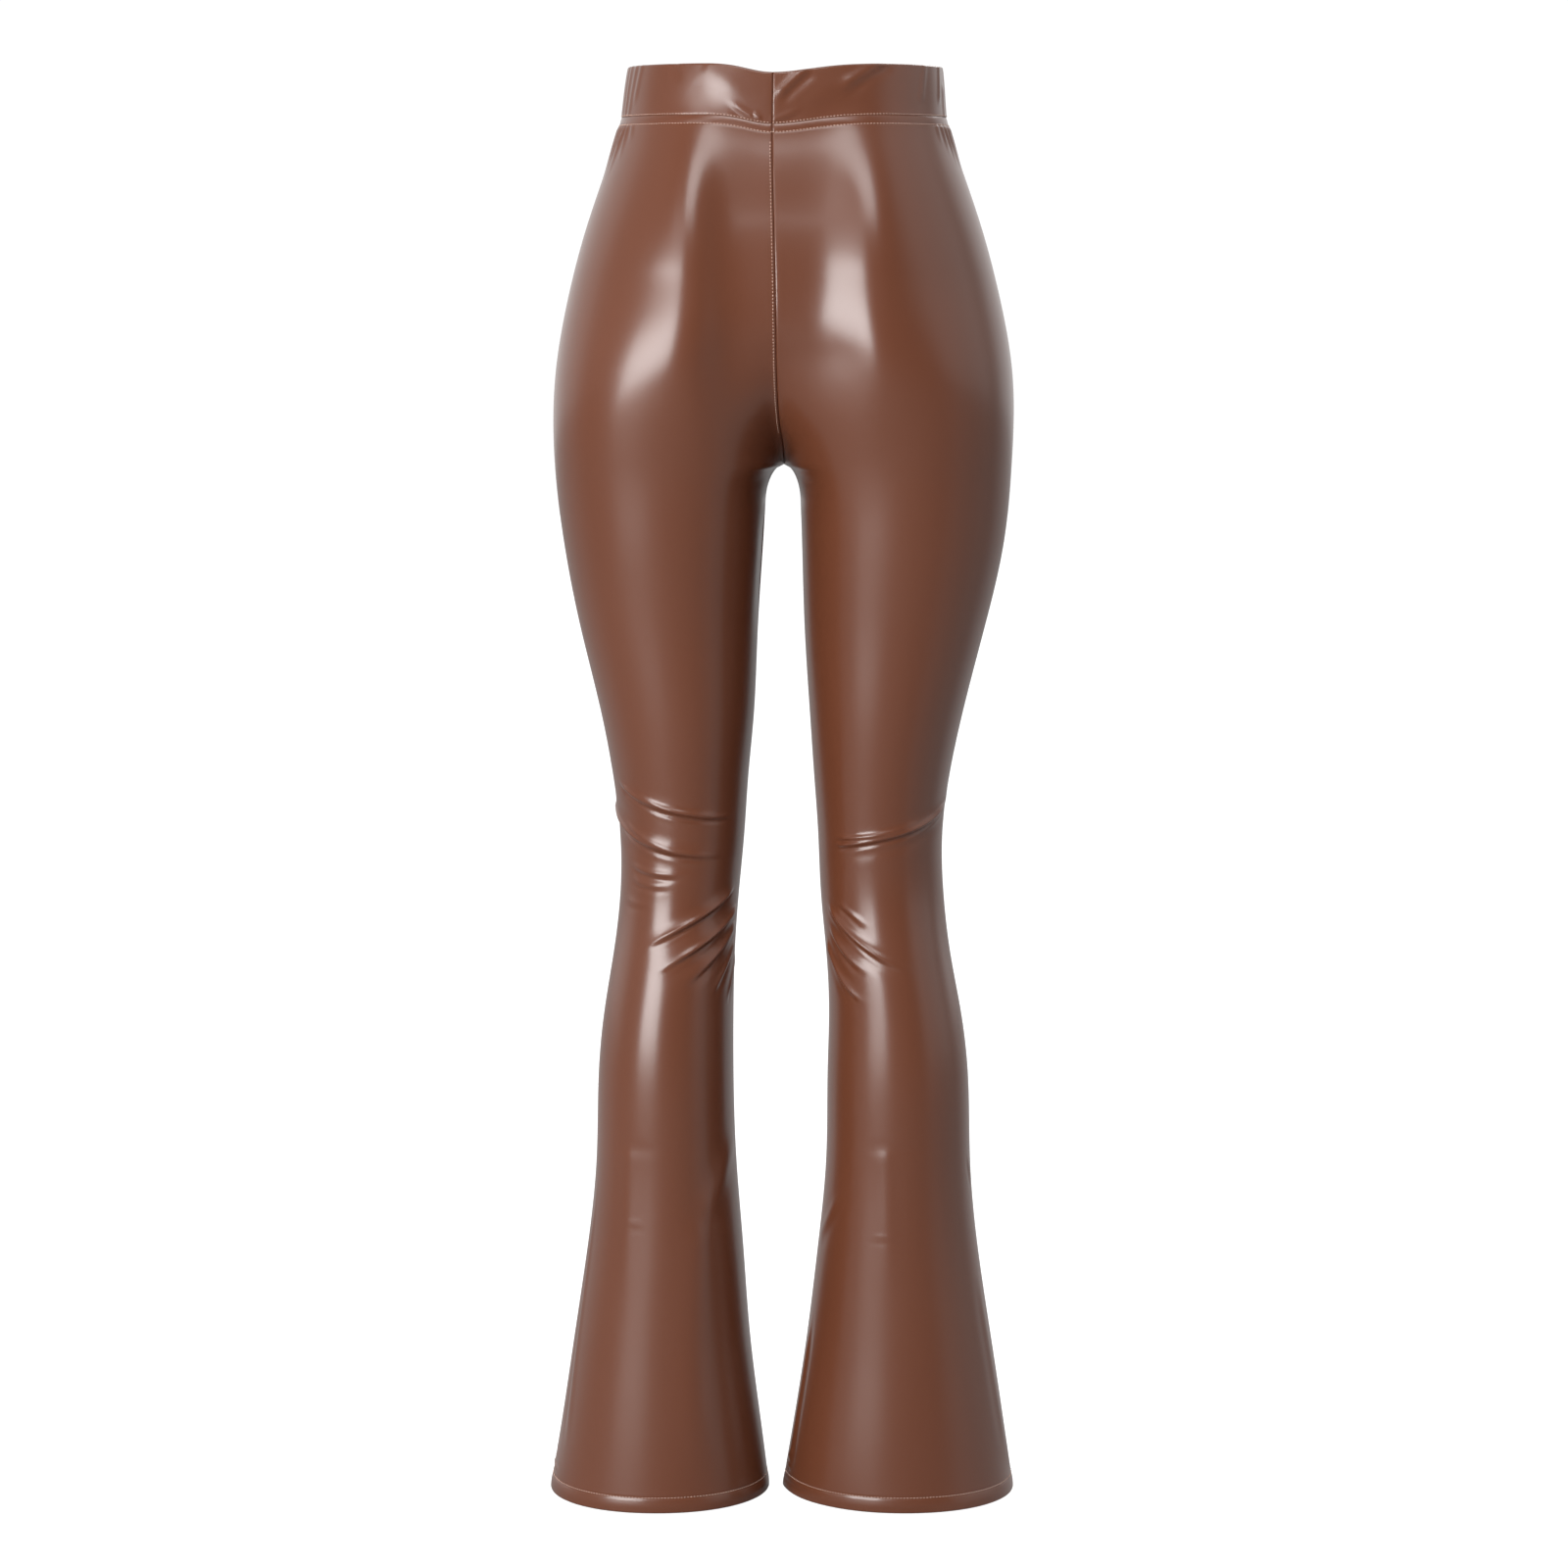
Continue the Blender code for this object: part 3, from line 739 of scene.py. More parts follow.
@dataclass(frozen=True)
class Mesher:
    """Turns grids of points into Blender meshes."""

    inner_step: int = 2

    def shell(self, name: str, outer: Array, inner: Array, flipped: bool) -> bpy.types.Mesh:
        """A closed wall between two grids, the inner one with fewer points.

        In words: quads over both grids, and a rim of five-sided faces, each with two steps of
        the outer grid's edge and one of the inner grid's.

        Args:
            name: Name of the mesh.
            outer: The outer grid, with an odd number of rows and columns.
            inner: The inner grid, the same size. Every second row and column is used.
            flipped: Whether the outer grid's quads face inwards as they come.

        Returns:
            The mesh, in metres about the waist line.
        """
        step = self.inner_step
        coarse = inner[::step, ::step]
        rows, columns = outer.shape[:2]
        fine_index = np.arange(rows * columns).reshape(rows, columns)
        coarse_index = np.arange(coarse.shape[0] * coarse.shape[1]).reshape(coarse.shape[:2])
        coarse_index = coarse_index + rows * columns
        quads = np.concatenate([self.quads(fine_index), self.quads(coarse_index)[:, ::-1]])
        fine_edge = self.edge_of(fine_index)
        coarse_edge = self.edge_of(coarse_index)
        rim = np.stack([
            np.roll(fine_edge, -2)[::step], np.roll(fine_edge, -1)[::step], fine_edge[::step],
            coarse_edge, np.roll(coarse_edge, -1),
        ], axis=1)
        if flipped:
            quads = quads[:, ::-1]
            rim = rim[:, ::-1]
        points = np.concatenate([outer.reshape(-1, 3), coarse.reshape(-1, 3)])
        return self.mesh(name, points, [quads, rim])

    @staticmethod
    def quads(index: Array) -> Array:
        """The quads of a grid of vertex numbers."""
        corners = (index[:-1, :-1], index[:-1, 1:], index[1:, 1:], index[1:, :-1])
        return np.stack(corners, axis=2).reshape(-1, 4)

    @staticmethod
    def edge_of(index: Array) -> Array:
        """The vertex numbers round a grid's edge, once round from its first corner."""
        return np.concatenate([index[0, :-1], index[:-1, -1], index[-1, :0:-1], index[:0:-1, 0]])

    @staticmethod
    def mesh(name: str, points: Array, face_sets: list[Array]) -> bpy.types.Mesh:
        """A smooth shaded mesh in metres about the waist line.

        Args:
            name: Name of the mesh.
            points: Places in millimetres, with z up from the waist's top edge.
            face_sets: Arrays of faces. All faces in one array have as many corners.

        Returns:
            The mesh.
        """
        placed = (points + (0, 0, TrouserForm.waist_line)) * MM
        corners = np.concatenate([faces.ravel() for faces in face_sets])
        sizes = np.concatenate([np.full(len(faces), faces.shape[1]) for faces in face_sets])
        mesh = bpy.data.meshes.new(name)
        mesh.vertices.add(len(placed))
        mesh.vertices.foreach_set("co", placed.astype(np.float32).ravel())
        mesh.loops.add(len(corners))
        mesh.loops.foreach_set("vertex_index", corners.astype(np.int32))
        mesh.polygons.add(len(sizes))
        mesh.polygons.foreach_set("loop_start", np.cumsum(sizes) - sizes)
        mesh.update(calc_edges=True)
        mesh.validate()
        mesh.shade_smooth()
        return mesh


def link(name: str, data: bpy.types.ID) -> bpy.types.Object:
    """Put a new object in the scene."""
    thing = bpy.data.objects.new(name, data)
    bpy.context.scene.collection.objects.link(thing)
    return thing


def add_piece(
    mesh: bpy.types.Mesh, material: bpy.types.Material
) -> bpy.types.Object:
    """Put a finished piece in the scene, on the garment's one body.

    Args:
        mesh: The piece's mesh, which also gives its name.
        material: Its finish.

    Returns:
        The new object.
    """
    mesh.materials.append(material)
    piece = link(mesh.name, mesh)
    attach(piece, BODY)
    LOG.info("%s: %d faces", piece.name, len(mesh.polygons))
    return piece


class NodeGraph:
    """A short way to write a material's or the world's nodes."""

    def __init__(self, tree: bpy.types.NodeTree) -> None:
        """Start from an empty tree."""
        self.tree = tree
        tree.nodes.clear()

    def add(self, kind: str, inputs: dict | None = None, **settings: object) -> bpy.types.Node:
        """Add a node.

        Args:
            kind: Blender's name for the node's type.
            inputs: For each input's name or number, a value or a socket to link from.
            **settings: The node's own properties.

        Returns:
            The node.
        """
        node = self.tree.nodes.new(kind)
        for name, value in settings.items():
            setattr(node, name, value)
        for name, value in (inputs or {}).items():
            if isinstance(value, bpy.types.NodeSocket):
                self.tree.links.new(value, node.inputs[name])
            else:
                node.inputs[name].default_value = value
        return node

    def scaled(self, value: bpy.types.NodeSocket, low: float, high: float) -> bpy.types.NodeSocket:
        """A 0 to 1 value, spread from low to high."""
        node = self.add("ShaderNodeMapRange", {"Value": value, "To Min": low, "To Max": high})
        return node.outputs["Result"]


def new_material(name: str) -> tuple[bpy.types.Material, NodeGraph]:
    """A new material and its empty nodes."""
    material = bpy.data.materials.new(name)
    material.use_nodes = True
    return material, NodeGraph(material.node_tree)


@dataclass(frozen=True)
class LeatherFinish:
    """Glossy coated cloth: a warm brown under a clear skin with a very fine grain.

    Attributes:
        name: Name of the material.
        colour: Its usual colour.
        deep_colour: The colour of its darker clouds.
        roughness: Lowest and highest roughness.
        cloud_scale: Clouds to a metre.
        cloud_roughness: How much finer clouds add to the large ones.
        grain: Grains to a metre.
        grain_depth: Height of the grain, in metres.
        ior: Refraction of the coating.
        coat_weight: Share of the clear skin.
        coat_roughness: Roughness of the clear skin.
    """

    name: str
    colour: Colour = (0.128, 0.040, 0.0185, 1)
    deep_colour: Colour = (0.112, 0.035, 0.0165, 1)
    roughness: tuple[float, float] = (0.26, 0.34)
    cloud_scale: float = 7.0
    cloud_roughness: float = 0.4
    grain: float = 620.0
    grain_depth: float = 0.00002
    ior: float = 1.5
    coat_weight: float = 0.2
    coat_roughness: float = 0.2

    def material(self) -> bpy.types.Material:
        """The finish as a material, read from each piece's own Object coordinates."""
        material, graph = new_material(self.name)
        place = graph.add("ShaderNodeTexCoord").outputs["Object"]
        clouds = graph.add("ShaderNodeTexNoise", {
            "Vector": place, "Scale": self.cloud_scale, "Detail": 1.0,
            "Roughness": self.cloud_roughness,
        })
        grain = graph.add("ShaderNodeTexNoise", {
            "Vector": place, "Scale": self.grain, "Detail": 1.0, "Roughness": 0.5,
        })
        bump = graph.add("ShaderNodeBump", {
            "Height": grain.outputs["Fac"], "Distance": self.grain_depth, "Strength": 1.0,
        })
        colour = graph.add("ShaderNodeMix", {
            0: clouds.outputs["Fac"], 6: self.deep_colour, 7: self.colour,
        }, data_type="RGBA")
        shader = graph.add("ShaderNodeBsdfPrincipled", {
            "Base Color": colour.outputs[2],
            "Roughness": graph.scaled(clouds.outputs["Fac"], *self.roughness),
            "Normal": bump.outputs["Normal"],
            "IOR": self.ior,
            "Coat Weight": self.coat_weight,
            "Coat Roughness": self.coat_roughness,
        })
        graph.add("ShaderNodeOutputMaterial", {"Surface": shader.outputs["BSDF"]})
        return material


@dataclass(frozen=True)
class ThreadFinish:
    """Twisted polyester thread, a little paler than the cloth."""

    name: str = "sewing_thread"
    colour: Colour = (0.60, 0.39, 0.31, 1)
    roughness: float = 0.45
    twist: float = 2600.0
    # Share of the thread's colour left in the twist's furrows: painted shade, as the thread has no
    # twist of its own.
    painted_furrow_shade: float = 0.8

    def material(self) -> bpy.types.Material:
        """The finish as a material, with painted shade in the twist's furrows as fine darker bands.
        """
        material, graph = new_material(self.name)
        place = graph.add("ShaderNodeTexCoord").outputs["Object"]
        bands = graph.add("ShaderNodeTexWave", {
            "Vector": place, "Scale": self.twist, "Distortion": 1.0,
        }, bands_direction="DIAGONAL")
        # Painted shade: the darker colour of the bands stands in for shade in the twist's furrows.
        darker = tuple(self.painted_furrow_shade * part for part in self.colour[:3]) + (1,)
        shade = graph.add("ShaderNodeMix", {
            0: bands.outputs["Fac"], 6: darker, 7: self.colour,
        }, data_type="RGBA")
        shader = graph.add("ShaderNodeBsdfPrincipled", {
            "Base Color": shade.outputs[2], "Roughness": self.roughness,
        })
        graph.add("ShaderNodeOutputMaterial", {"Surface": shader.outputs["BSDF"]})
        return material


@dataclass(frozen=True)
class Span:
    """A stretch of rows down a panel, about this far apart."""

    start: float
    end: float
    spacing: float


PANEL_SPANS = (
    Span(36, 46, 0.5),
    Span(46, 92, 1.6),
    Span(92, 285, 4.0),
    Span(285, 325, 2.2),
    Span(325, 500, 4.6),
    Span(500, 684, 0.95),
    Span(684, 860, 2.6),
    Span(860, 1020, 4.4),
    Span(1020, 1038, 0.6),
    Span(1038, 1041.5, 0.25),
)
BAND_SPANS = (Span(0, 1.5, 0.15), Span(1.5, 30, 1.1), Span(30, 36, 0.4))


def rows_of(spans: tuple[Span, ...]) -> Array:
    """The drops of a piece's rows: an odd number of them, with each span's ends kept."""
    parts = []
    for span in spans:
        count = 2 * max(1, round((span.end - span.start) / span.spacing / 2))
        parts.append(np.linspace(span.start, span.end, count, endpoint=False))
    return np.append(np.concatenate(parts), spans[-1].end)


def nearest(values: Array, value: float) -> int:
    """The number of the place in an array that is nearest to a value."""
    return int(np.argmin(np.abs(values - value)))


@dataclass(frozen=True)
class Wall:
    """One panel's finished cloth: its outer and inner points, and the surface it lies on."""

    outer: Array
    inner: Array
    surface: Surface

    def normals(self) -> Array:
        """Outward normals of the finished outside."""
        return grid_normals(self.outer, self.surface.outward)


@dataclass
class Panels:
    """The four leg panels, with their seams, creases and hems."""

    form: TrouserForm
    cloth: Cloth
    columns: int = 141
    edge_crowding: float = 0.62

    def shares(self) -> Array:
        """Place of each column across a panel, closer together at both seams."""
        even = np.linspace(0, 1, self.columns)
        return even - self.edge_crowding * np.sin(2 * math.pi * even) / (2 * math.pi)

    def relief(self, side: Side, face: Face, surface: Surface) -> Array:
        """Height of all that stands out from or sinks into one panel.

        Args:
            side: The leg.
            face: The panel.
            surface: The panel's smooth surface.

        Returns:
            The height at each point.
        """
        height = np.zeros_like(surface.along)
        for crease in CREASES[side, face]:
            height += crease.relief(surface.round_knee, surface.down)
        for gather in LEFT_GATHERS if side is Side.LEFT else RIGHT_GATHERS:
            height += gather.relief(surface.from_side, surface.down, WAIST_ROW.drop)
        band_end = WAIST_SEAM.drop + self.cloth.band_step
        under_band = smooth_step(WAIST_SEAM.drop, band_end, surface.down)
        seams = self.cloth.seam(surface.along) + self.cloth.seam(surface.from_side)
        height += seams * under_band
        height += stitch_relief(surface.along, surface.down)
        edge = (HEM_ROW.drop + self.form.length) / 2
        reach = self.cloth.hem_fullness_reach
        height += self.cloth.hem_fullness * bell(surface.down - edge, reach)
        return height

    def walls(self) -> dict[Panel, Wall]:
        """The cloth of the four panels, joined edge to edge at their seams."""
        drops = rows_of(PANEL_SPANS)
        surfaces = {
            (side, face): self.form.surface(side, face, drops, self.shares())
            for side in Side for face in Face
        }
        outer = {}
        normals = {}
        for (side, face), surface in surfaces.items():
            normals[side, face] = grid_normals(surface.points, surface.outward)
            height = self.relief(side, face, surface)[:, :, None]
            outer[side, face] = surface.points + normals[side, face] * height
        crotch = int(np.argmax(drops >= self.form.crotch_drop))
        self.join_seams(outer, crotch)
        self.join_seams(normals, crotch)
        inward, thickness = self.edges_of(drops)
        walls = {}
        for key, points in outer.items():
            normal = unit(normals[key])
            top = points - normal * inward
            bottom = points - normal * (thickness - inward)
            walls[key] = Wall(top, bottom, surfaces[key])
        return walls

    def edges_of(self, drops: Array) -> tuple[Array, Array]:
        """How far the outside draws in at the hem's fold, and the wall's thickness, by row."""
        cloth = self.cloth
        past_turn = drops - (self.form.length - cloth.hem_depth)
        turned = smooth_step(-cloth.hem_step, cloth.hem_step, past_turn)
        thickness = cloth.wall + (cloth.hem_wall - cloth.wall) * turned
        inward = cloth.fold(drops - self.form.length, cloth.hem_wall)
        return inward[:, None, None], thickness[:, None, None]

    @staticmethod
    def join_seams(grids: dict[Panel, Array], crotch: int) -> None:
        """Make the points on each side of a seam the same: the mean of the two.

        Args:
            grids: A grid for each panel, changed in place.
            crotch: The row of the crotch.
        """
        inseam, outseam, rise = np.s_[crotch:, 0], np.s_[:, -1], np.s_[: crotch + 1, 0]
        for side in Side:
            for seam in (inseam, outseam):
                mean = (grids[side, Face.BACK][seam] + grids[side, Face.FRONT][seam]) / 2
                grids[side, Face.BACK][seam] = mean
                grids[side, Face.FRONT][seam] = mean
        for face in Face:
            mean = (grids[Side.LEFT, face][rise] + grids[Side.RIGHT, face][rise]) / 2
            grids[Side.LEFT, face][rise] = mean
            grids[Side.RIGHT, face][rise] = mean
        meeting = sum(grid[crotch, 0] for grid in grids.values()) / len(grids)
        for grid in grids.values():
            grid[crotch, 0] = meeting


@dataclass
class Waistband:
    """The elastic waistband: one strip, turned over at the top and joined at the centre back."""

    form: TrouserForm
    cloth: Cloth
    shares: Array
    puff: float = 0.9

    OUTWARD = -1

    def relief(self, side: Side, face: Face, surface: Surface) -> Array:
        """Height of the pulls, tucks and stitching on one quarter of the band.

        Args:
            side: The side of the body.
            face: Back or front.
            surface: The quarter's smooth surface.

        Returns:
            The height at each point.
        """
        height = self.puff * np.sin(math.pi * surface.down / self.form.band_height)
        for tuck in BAND_TUCKS[side]:
            height = height + tuck.relief(surface.from_side, surface.down)
        if face is Face.BACK:
            for crease in BAND_CREASES:
                height = height + crease.relief(surface.along * side.sign, surface.down)
            height = height + self.cloth.seam(surface.along)
        return height + stitch_relief(surface.along, surface.down)

    def walls(self) -> tuple[Array, Array]:
        """Outer and inner points, from the centre back round by the right to it again."""
        drops = rows_of(BAND_SPANS)
        rings, heights = [], []
        for side, face in (
            (Side.RIGHT, Face.BACK), (Side.RIGHT, Face.FRONT),
            (Side.LEFT, Face.FRONT), (Side.LEFT, Face.BACK),
        ):
            surface = self.form.surface(side, face, drops, self.shares)
            height = self.relief(side, face, surface)
            order = -1 if (side is Side.LEFT) == (face is Face.BACK) else 1
            skip = 1 if rings else 0
            rings.append(surface.points[:, ::order][:, skip:])
            heights.append(height[:, ::order][:, skip:])
        ring = np.concatenate(rings, axis=1)
        height = np.concatenate(heights, axis=1)[:, :, None]
        normal = grid_normals(ring, self.OUTWARD)
        full = ring + normal * height
        for grid in (full, normal):
            grid[:, 0] = grid[:, -1] = (grid[:, 0] + grid[:, -1]) / 2
        inward = self.cloth.fold(-drops, self.cloth.band_wall)[:, None, None]
        return full - normal * inward, full - normal * (self.cloth.band_wall - inward)


@dataclass(frozen=True)
class Thread:
    """A row of short stitches that lie in a furrow of the cloth.

    Attributes:
        pitch: Distance from one stitch to the next.
        length: Length of a stitch.
        radius: Radius of the thread.
        proud: How far the thread's middle lies above the furrow.
    """

    pitch: float = 2.4
    length: float = 1.5
    radius: float = 0.34
    proud: float = 0.16
    sides: int = 6

    # Place of each ring from the middle, as a share of the half length, and its size.
    RINGS = ((-0.7, 0.75), (0.0, 1.0), (0.7, 0.75))
    AIM_REACH = 0.5

    def capsule(self) -> tuple[Array, list[Array]]:
        """One stitch along its first axis: five rings, of which the end ones are points.

        Returns:
            The points, and the triangles and quads between them.
        """
        turn = np.arange(self.sides) * 2 * math.pi / self.sides
        around = np.stack([0 * turn, np.cos(turn), np.sin(turn)], axis=1)
        rings = [
            around * self.radius * size + (place * self.length / 2, 0, 0)
            for place, size in self.RINGS
        ]
        ends = [(-self.length / 2, 0, 0), (self.length / 2, 0, 0)]
        points = np.concatenate([*rings, ends])
        here = np.arange(self.sides)
        after = np.roll(here, -1)
        count = self.sides
        quads = np.concatenate([
            np.stack([here + k, after + k, after + k + count, here + k + count], axis=1)
            for k in (0, count)
        ])
        first = np.full(count, 3 * count)
        caps = np.concatenate([
            np.stack([first, after, here], axis=1),
            np.stack([first + 1, here + 2 * count, after + 2 * count], axis=1),
        ])
        return points, [caps, quads]

    def row(self, path: Array, normals: Array) -> tuple[Array, list[Array]]:
        """Stitches at even steps along a path.

        Args:
            path: Points along the furrow.
            normals: The cloth's normals there.

        Returns:
            All the stitches' points and faces.
        """
        steps = np.linalg.norm(np.diff(path, axis=0), axis=1)
        run = np.concatenate([[0], np.cumsum(steps)])
        at = np.arange(self.pitch / 2, run[-1] - self.pitch / 2, self.pitch)

        def read(values: Array, places: Array) -> Array:
            """Values along the path, at distances along it."""
            return np.stack([np.interp(places, run, values[:, k]) for k in range(3)], axis=1)

        along = unit(read(path, at + self.AIM_REACH) - read(path, at - self.AIM_REACH))
        up = unit(read(normals, at))
        aside = unit(np.cross(up, along))
        centre = read(path, at) + up * self.proud
        shape, faces = self.capsule()
        frame_axes = np.stack([along, aside, up], axis=1)
        points = centre[:, None] + np.einsum("pk,nkc->npc", shape, frame_axes)
        start = np.arange(len(at))[:, None, None] * len(shape)
        return points.reshape(-1, 3), [
            (part[None] + start).reshape(-1, part.shape[1]) for part in faces
        ]

    def mesh(self, name: str, rows: list[tuple[Array, Array]]) -> bpy.types.Mesh:
        """One mesh of several rows.

        Args:
            name: Name of the mesh.
            rows: The path and the normals of each row.

        Returns:
            The mesh.
        """
        points, triangles, quads, first = [], [], [], 0
        for path, normals in rows:
            row_points, (row_triangles, row_quads) = self.row(path, normals)
            points.append(row_points)
            triangles.append(row_triangles + first)
            quads.append(row_quads + first)
            first += len(row_points)
        faces = [np.concatenate(triangles), np.concatenate(quads)]
        return Mesher.mesh(name, np.concatenate(points), faces)


@dataclass(frozen=True)
class SoftBox:
    """A soft lamp that stands round the garment and faces it.

    Attributes:
        name: Name of the lamp.
        azimuth: Degrees round from the camera's side, to the right.
        distance: How far it stands from the garment's upright axis, in metres.
        bottom: Height of its lower edge, about the waist line.
        top: Height of its upper edge.
        width: Its width.
        glow: Its radiance.
    """

    name: str
    azimuth: float
    distance: float
    bottom: float
    top: float
    width: float
    glow: float

    def build(self, aim: float) -> None:
        """Make the lamp, turned towards the garment.

        Args:
            aim: Height on the garment's axis that it faces.
        """
        data = bpy.data.lights.new(self.name, "AREA")
        data.shape = "RECTANGLE"
        data.size = self.width
        data.size_y = self.top - self.bottom
        data.energy = self.glow * math.pi * data.size * data.size_y
        lamp = link(self.name, data)
        turn = math.radians(self.azimuth)
        lamp.location = (
            math.sin(turn) * self.distance, -math.cos(turn) * self.distance,
            (self.top + self.bottom) / 2,
        )
        towards = Vector((0, 0, aim)) - lamp.location
        lamp.rotation_euler = towards.to_track_quat("-Z", "Y").to_euler()
        lamp.visible_camera = False


SOFT_BOXES = (
    SoftBox("key", -37, 2.5, -0.66, 0.36, 1.6, 13.0),
    SoftBox("between", -30, 2.6, 0.55, 1.35, 1.4, 1.6),
    SoftBox("upper", -2, 2.8, 1.55, 2.60, 1.6, 8.0),
    SoftBox("top", 0, 1.5, 2.6, 3.6, 1.8, 5.0),
    SoftBox("behind", 150, 2.6, 1.0, 2.2, 1.6, 5.0),
)

# How bright the room is all round: (degrees round from the camera's side to the right, radiance).
ROOM = (
    (-180, 1.00), (-112, 1.00), (-98, 0.45), (-70, 0.40), (-58, 0.20), (-15, 0.12), (45, 0.12),
    (62, 0.95), (104, 1.00), (112, 0.50), (122, 0.50), (130, 1.00), (180, 1.00),
)


@dataclass(frozen=True)
class Studio:
    """The plain studio: a pale floor, soft light and the camera.

    Attributes:
        camera_back: How far the camera stands behind the garment, in metres.
        camera_height: Its height, about the waist line.
        camera_tilt: Degrees that it looks down.
        lens: Its focal length, in millimetres.
        sensor: Width of its sensor, in millimetres.
        aim: Height that the lamps face.
        wall_glow: Radiance of the room's walls as the camera sees them.
        floor_radius: Radius of the floor, in metres.
        floor_sides: Corners of the floor.
        floor_drop: How far it lies below the waist line.
        floor_colour: Its colour.
        floor_roughness: Its roughness.
        floor_glow: Its radiance as the camera sees it.
        floor_share: Its radiance to the cloth, as a share of the room's.
    """

    camera_back: float = 3.5
    camera_height: float = -0.124
    camera_tilt: float = 6.145
    lens: float = 110.475
    sensor: float = 36.0
    aim: float = -0.4
    wall_glow: float = 1.05
    floor_radius: float = 14.0
    floor_sides: int = 96
    floor_drop: float = 1.0242
    floor_colour: Colour = (0.2, 0.2, 0.2, 1)
    floor_roughness: float = 0.9
    floor_glow: float = 1.0
    floor_share: float = 0.22

    def build(self) -> None:
        """Make the camera, the floor, the lamps and the surroundings."""
        self.camera()
        self.floor()
        self.surroundings()
        for box in SOFT_BOXES:
            box.build(self.aim)

    def camera(self) -> None:
        """The camera, level with the hips and a little tilted down."""
        data = bpy.data.cameras.new("camera")
        data.lens = self.lens
        data.sensor_width = self.sensor
        camera = link("camera", data)
        camera.location = (0, -self.camera_back, self.camera_height)
        camera.rotation_euler = (math.radians(90 - self.camera_tilt), 0, 0)
        bpy.context.scene.camera = camera

    def floor(self) -> None:
        """A wide pale floor, just under the hems."""
        around = np.linspace(0, 2 * math.pi, self.floor_sides, endpoint=False)
        ring = np.stack([np.cos(around), np.sin(around), 0 * around], axis=1) * self.floor_radius
        ring[:, 2] = -self.floor_drop
        mesh = bpy.data.meshes.new("floor")
        mesh.from_pydata(ring.tolist(), [], [list(range(len(ring)))])
        material, graph = new_material("floor")
        seen = graph.add("ShaderNodeLightPath").outputs["Is Camera Ray"]
        place = graph.add("ShaderNodeTexCoord").outputs["Object"]
        room = graph.add("ShaderNodeMath", {
            0: self.room_glow(graph, place), 1: self.floor_share,
        }, operation="MULTIPLY").outputs[0]
        glow = graph.add("ShaderNodeMix", {0: seen, 2: room, 3: self.floor_glow})
        shader = graph.add("ShaderNodeBsdfPrincipled", {
            "Base Color": self.floor_colour, "Roughness": self.floor_roughness,
            "Emission Color": WHITE, "Emission Strength": glow.outputs[0],
        })
        graph.add("ShaderNodeOutputMaterial", {"Surface": shader.outputs["BSDF"]})
        mesh.materials.append(material)
        link("floor", mesh)

    @staticmethod
    def room_glow(graph: NodeGraph, direction: bpy.types.NodeSocket) -> bpy.types.NodeSocket:
        """How bright the room is in each direction: the room's table, read by angle round.

        Args:
            graph: The nodes to add to.
            direction: A direction from the garment.

        Returns:
            The radiance.
        """
        parts = graph.add("ShaderNodeSeparateXYZ", {0: direction})
        towards = graph.add("ShaderNodeMath", {
            0: parts.outputs["Y"], 1: -1.0,
        }, operation="MULTIPLY")
        angle = graph.add("ShaderNodeMath", {
            0: parts.outputs["X"], 1: towards.outputs[0],
        }, operation="ARCTAN2")
        share = graph.add("ShaderNodeMapRange", {
            "Value": angle.outputs[0], "From Min": -math.pi, "From Max": math.pi,
        })
        ramp = graph.add("ShaderNodeValToRGB", {"Fac": share.outputs["Result"]})
        stops = ramp.color_ramp.elements
        while len(stops) < len(ROOM):
            stops.new(0.5)
        for stop, (degrees, glow) in zip(stops, ROOM):
            stop.position = degrees / 360 + 0.5
            stop.color = (glow, glow, glow, 1)
        return ramp.outputs["Color"]

    def surroundings(self) -> None:
        """White walls behind and to the right, and a dim room in front."""
        world = bpy.data.worlds.new("studio")
        world.use_nodes = True
        graph = NodeGraph(world.node_tree)
        direction = graph.add("ShaderNodeTexCoord").outputs["Generated"]
        seen = graph.add("ShaderNodeLightPath").outputs["Is Camera Ray"]
        room = self.room_glow(graph, direction)
        strength = graph.add("ShaderNodeMix", {0: seen, 2: room, 3: self.wall_glow})
        light = graph.add("ShaderNodeBackground", {
            "Color": WHITE, "Strength": strength.outputs[0],
        })
        graph.add("ShaderNodeOutputWorld", {"Surface": light.outputs["Background"]})
        bpy.context.scene.world = world
        bpy.context.scene.view_settings.view_transform = "Standard"


@dataclass(frozen=True)
class Cut:
    """The flat cut of a piece that shows, in metres, and its area in square metres."""

    width: float
    length: float
    area: float


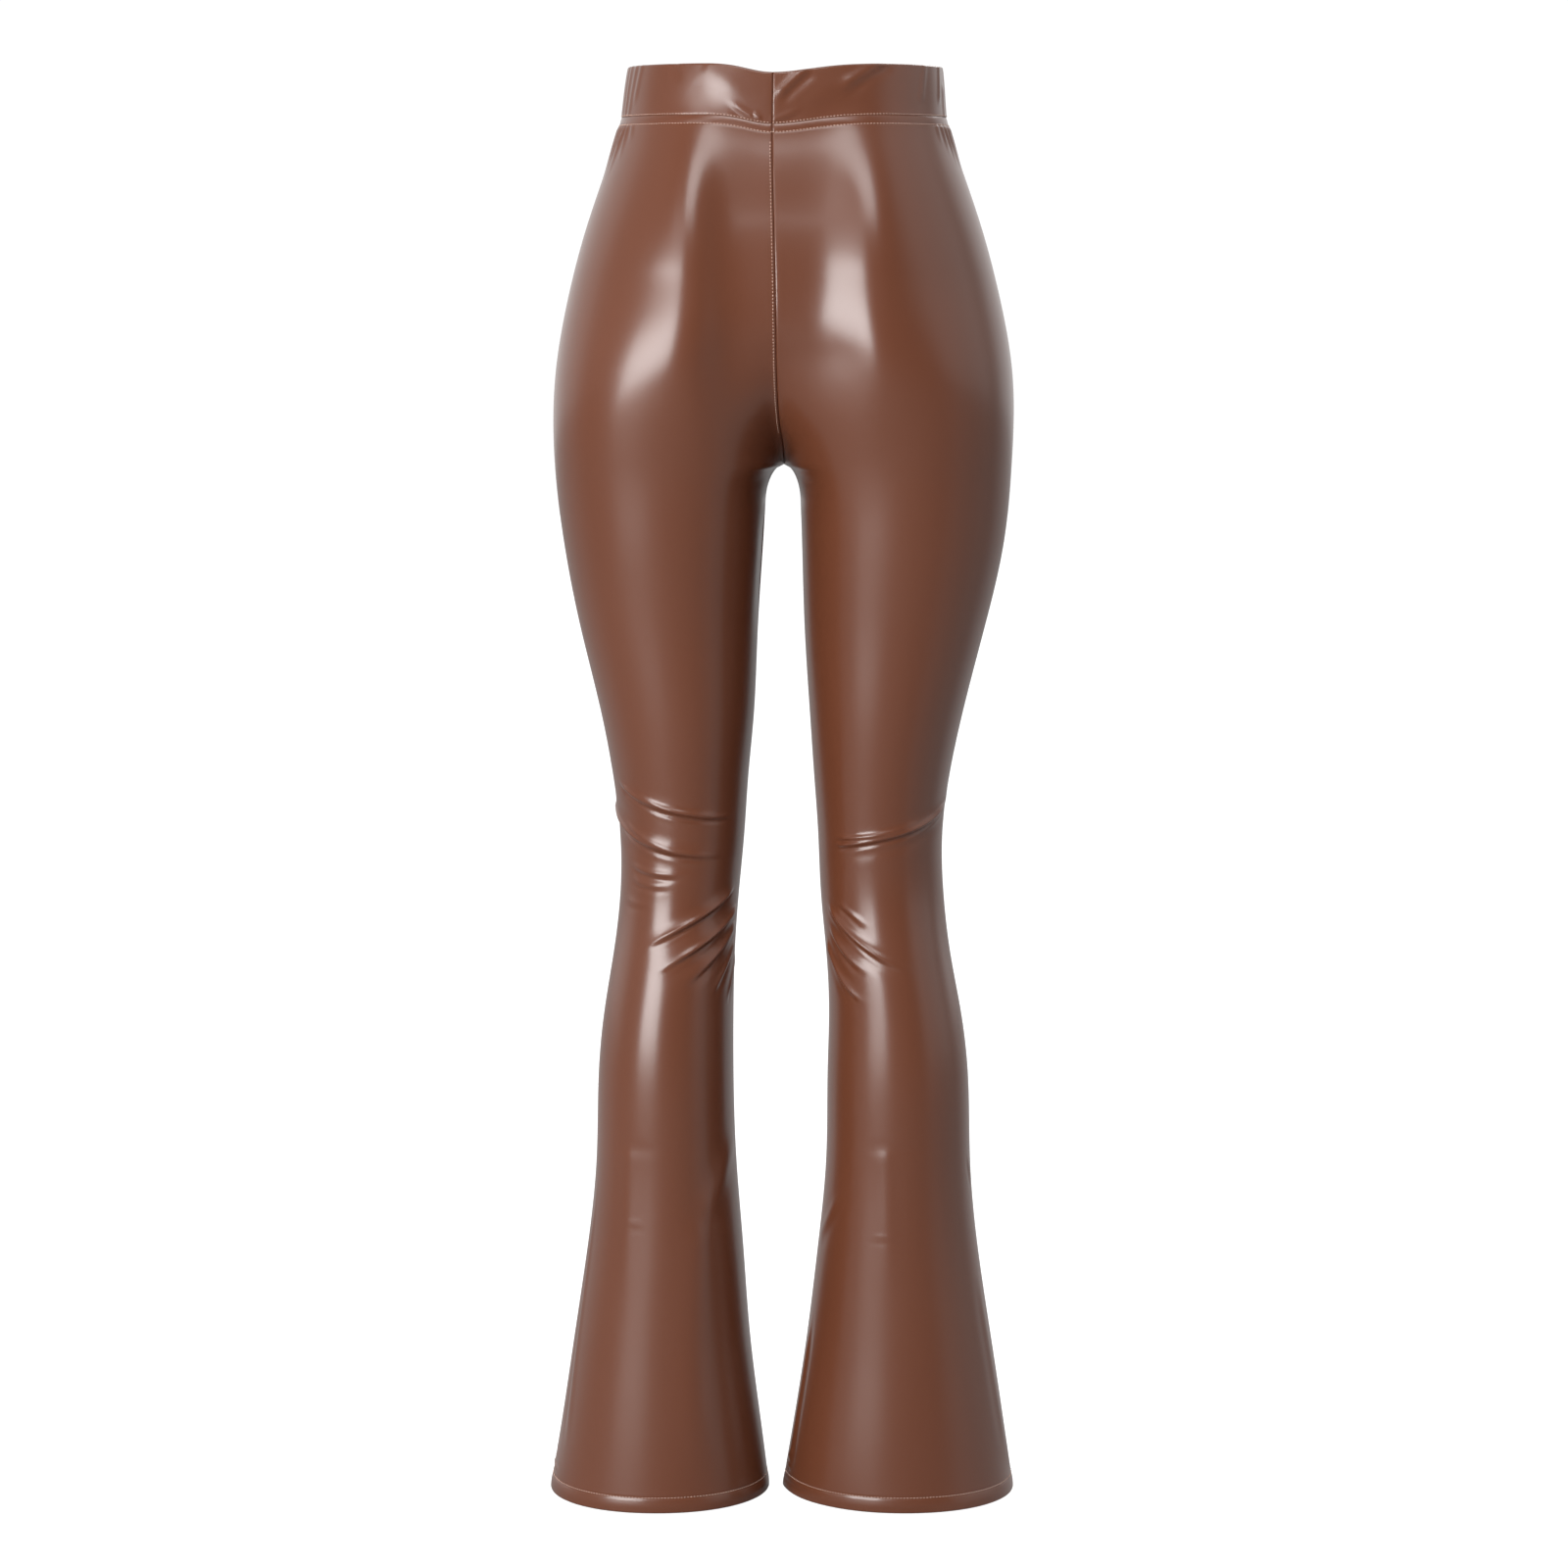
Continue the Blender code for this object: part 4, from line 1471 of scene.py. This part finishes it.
class Trousers:
    """The whole garment: four panels and a waistband, dressed."""

    def __init__(self, form: TrouserForm, cloth: Cloth) -> None:
        """Keep the form and the cloth that all the pieces share."""
        self.form = form
        self.cloth = cloth
        self.mesher = Mesher()
        self.leather = LeatherFinish("faux_leather").material()
        self.thread = ThreadFinish().material()

    def build(self) -> None:
        """Build and dress every piece."""
        panels = Panels(self.form, self.cloth)
        walls = panels.walls()
        for (side, face), wall in walls.items():
            node = f"{face.value}_{side.value}"
            flipped = wall.surface.outward < 0
            mesh = self.mesher.shell(f"{node}_cloth", wall.outer, wall.inner, flipped)
            piece = add_piece(mesh, self.leather)
            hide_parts(node)
        band_outer, band_inner = Waistband(self.form, self.cloth, panels.shares()).walls()
        mesh = self.mesher.shell("waistband_cloth", band_outer, band_inner, True)
        piece = add_piece(mesh, self.leather)
        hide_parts("waistband")
        self.stitch(walls, band_outer)

    def stitch(self, walls: dict[Panel, Wall], band: Array) -> None:
        """Lay the rows of stitches: two round the waist, one round each hem, one on the seat.

        Args:
            walls: The panels' cloth.
            band: The waistband's outer points.
        """
        drops = next(iter(walls.values())).surface.drops
        normals = {key: wall.normals() for key, wall in walls.items()}
        band_row = nearest(rows_of(BAND_SPANS), WAIST_SEAM.drop - BAND_ROW_LIFT)
        under, hem = nearest(drops, WAIST_ROW.drop), nearest(drops, HEM_ROW.drop)
        waist = [(band[band_row], grid_normals(band, Waistband.OUTWARD)[band_row])]
        waist += [(wall.outer[under], normals[key][under]) for key, wall in walls.items()]
        self.add_thread("waist_stitches", waist)
        for side in Side:
            rows = [(walls[side, face].outer[hem], normals[side, face][hem]) for face in Face]
            self.add_thread(f"hem_stitches_{side.value}", rows)
        start, end = (int(np.argmax(drops > drop)) for drop in SEAT_ROW_DROPS)
        seat = np.s_[start:end, SEAT_ROW_COLUMN]
        key = Side.LEFT, Face.BACK
        self.add_thread("seat_stitches", [(walls[key].outer[seat], normals[key][seat])])

    def add_thread(self, name: str, rows: list[tuple[Array, Array]]) -> None:
        """Put rows of stitches in the scene, as one piece."""
        add_piece(Thread().mesh(name, rows), self.thread)


def main() -> None:
    """Build the garment and the studio, and log how many faces each piece has."""
    logging.basicConfig(level=logging.INFO, format="%(name)s: %(message)s")
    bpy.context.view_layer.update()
    form = TrouserForm()
    Trousers(form, Cloth()).build()
    Studio().build()


if __name__ == "__main__":
    main()
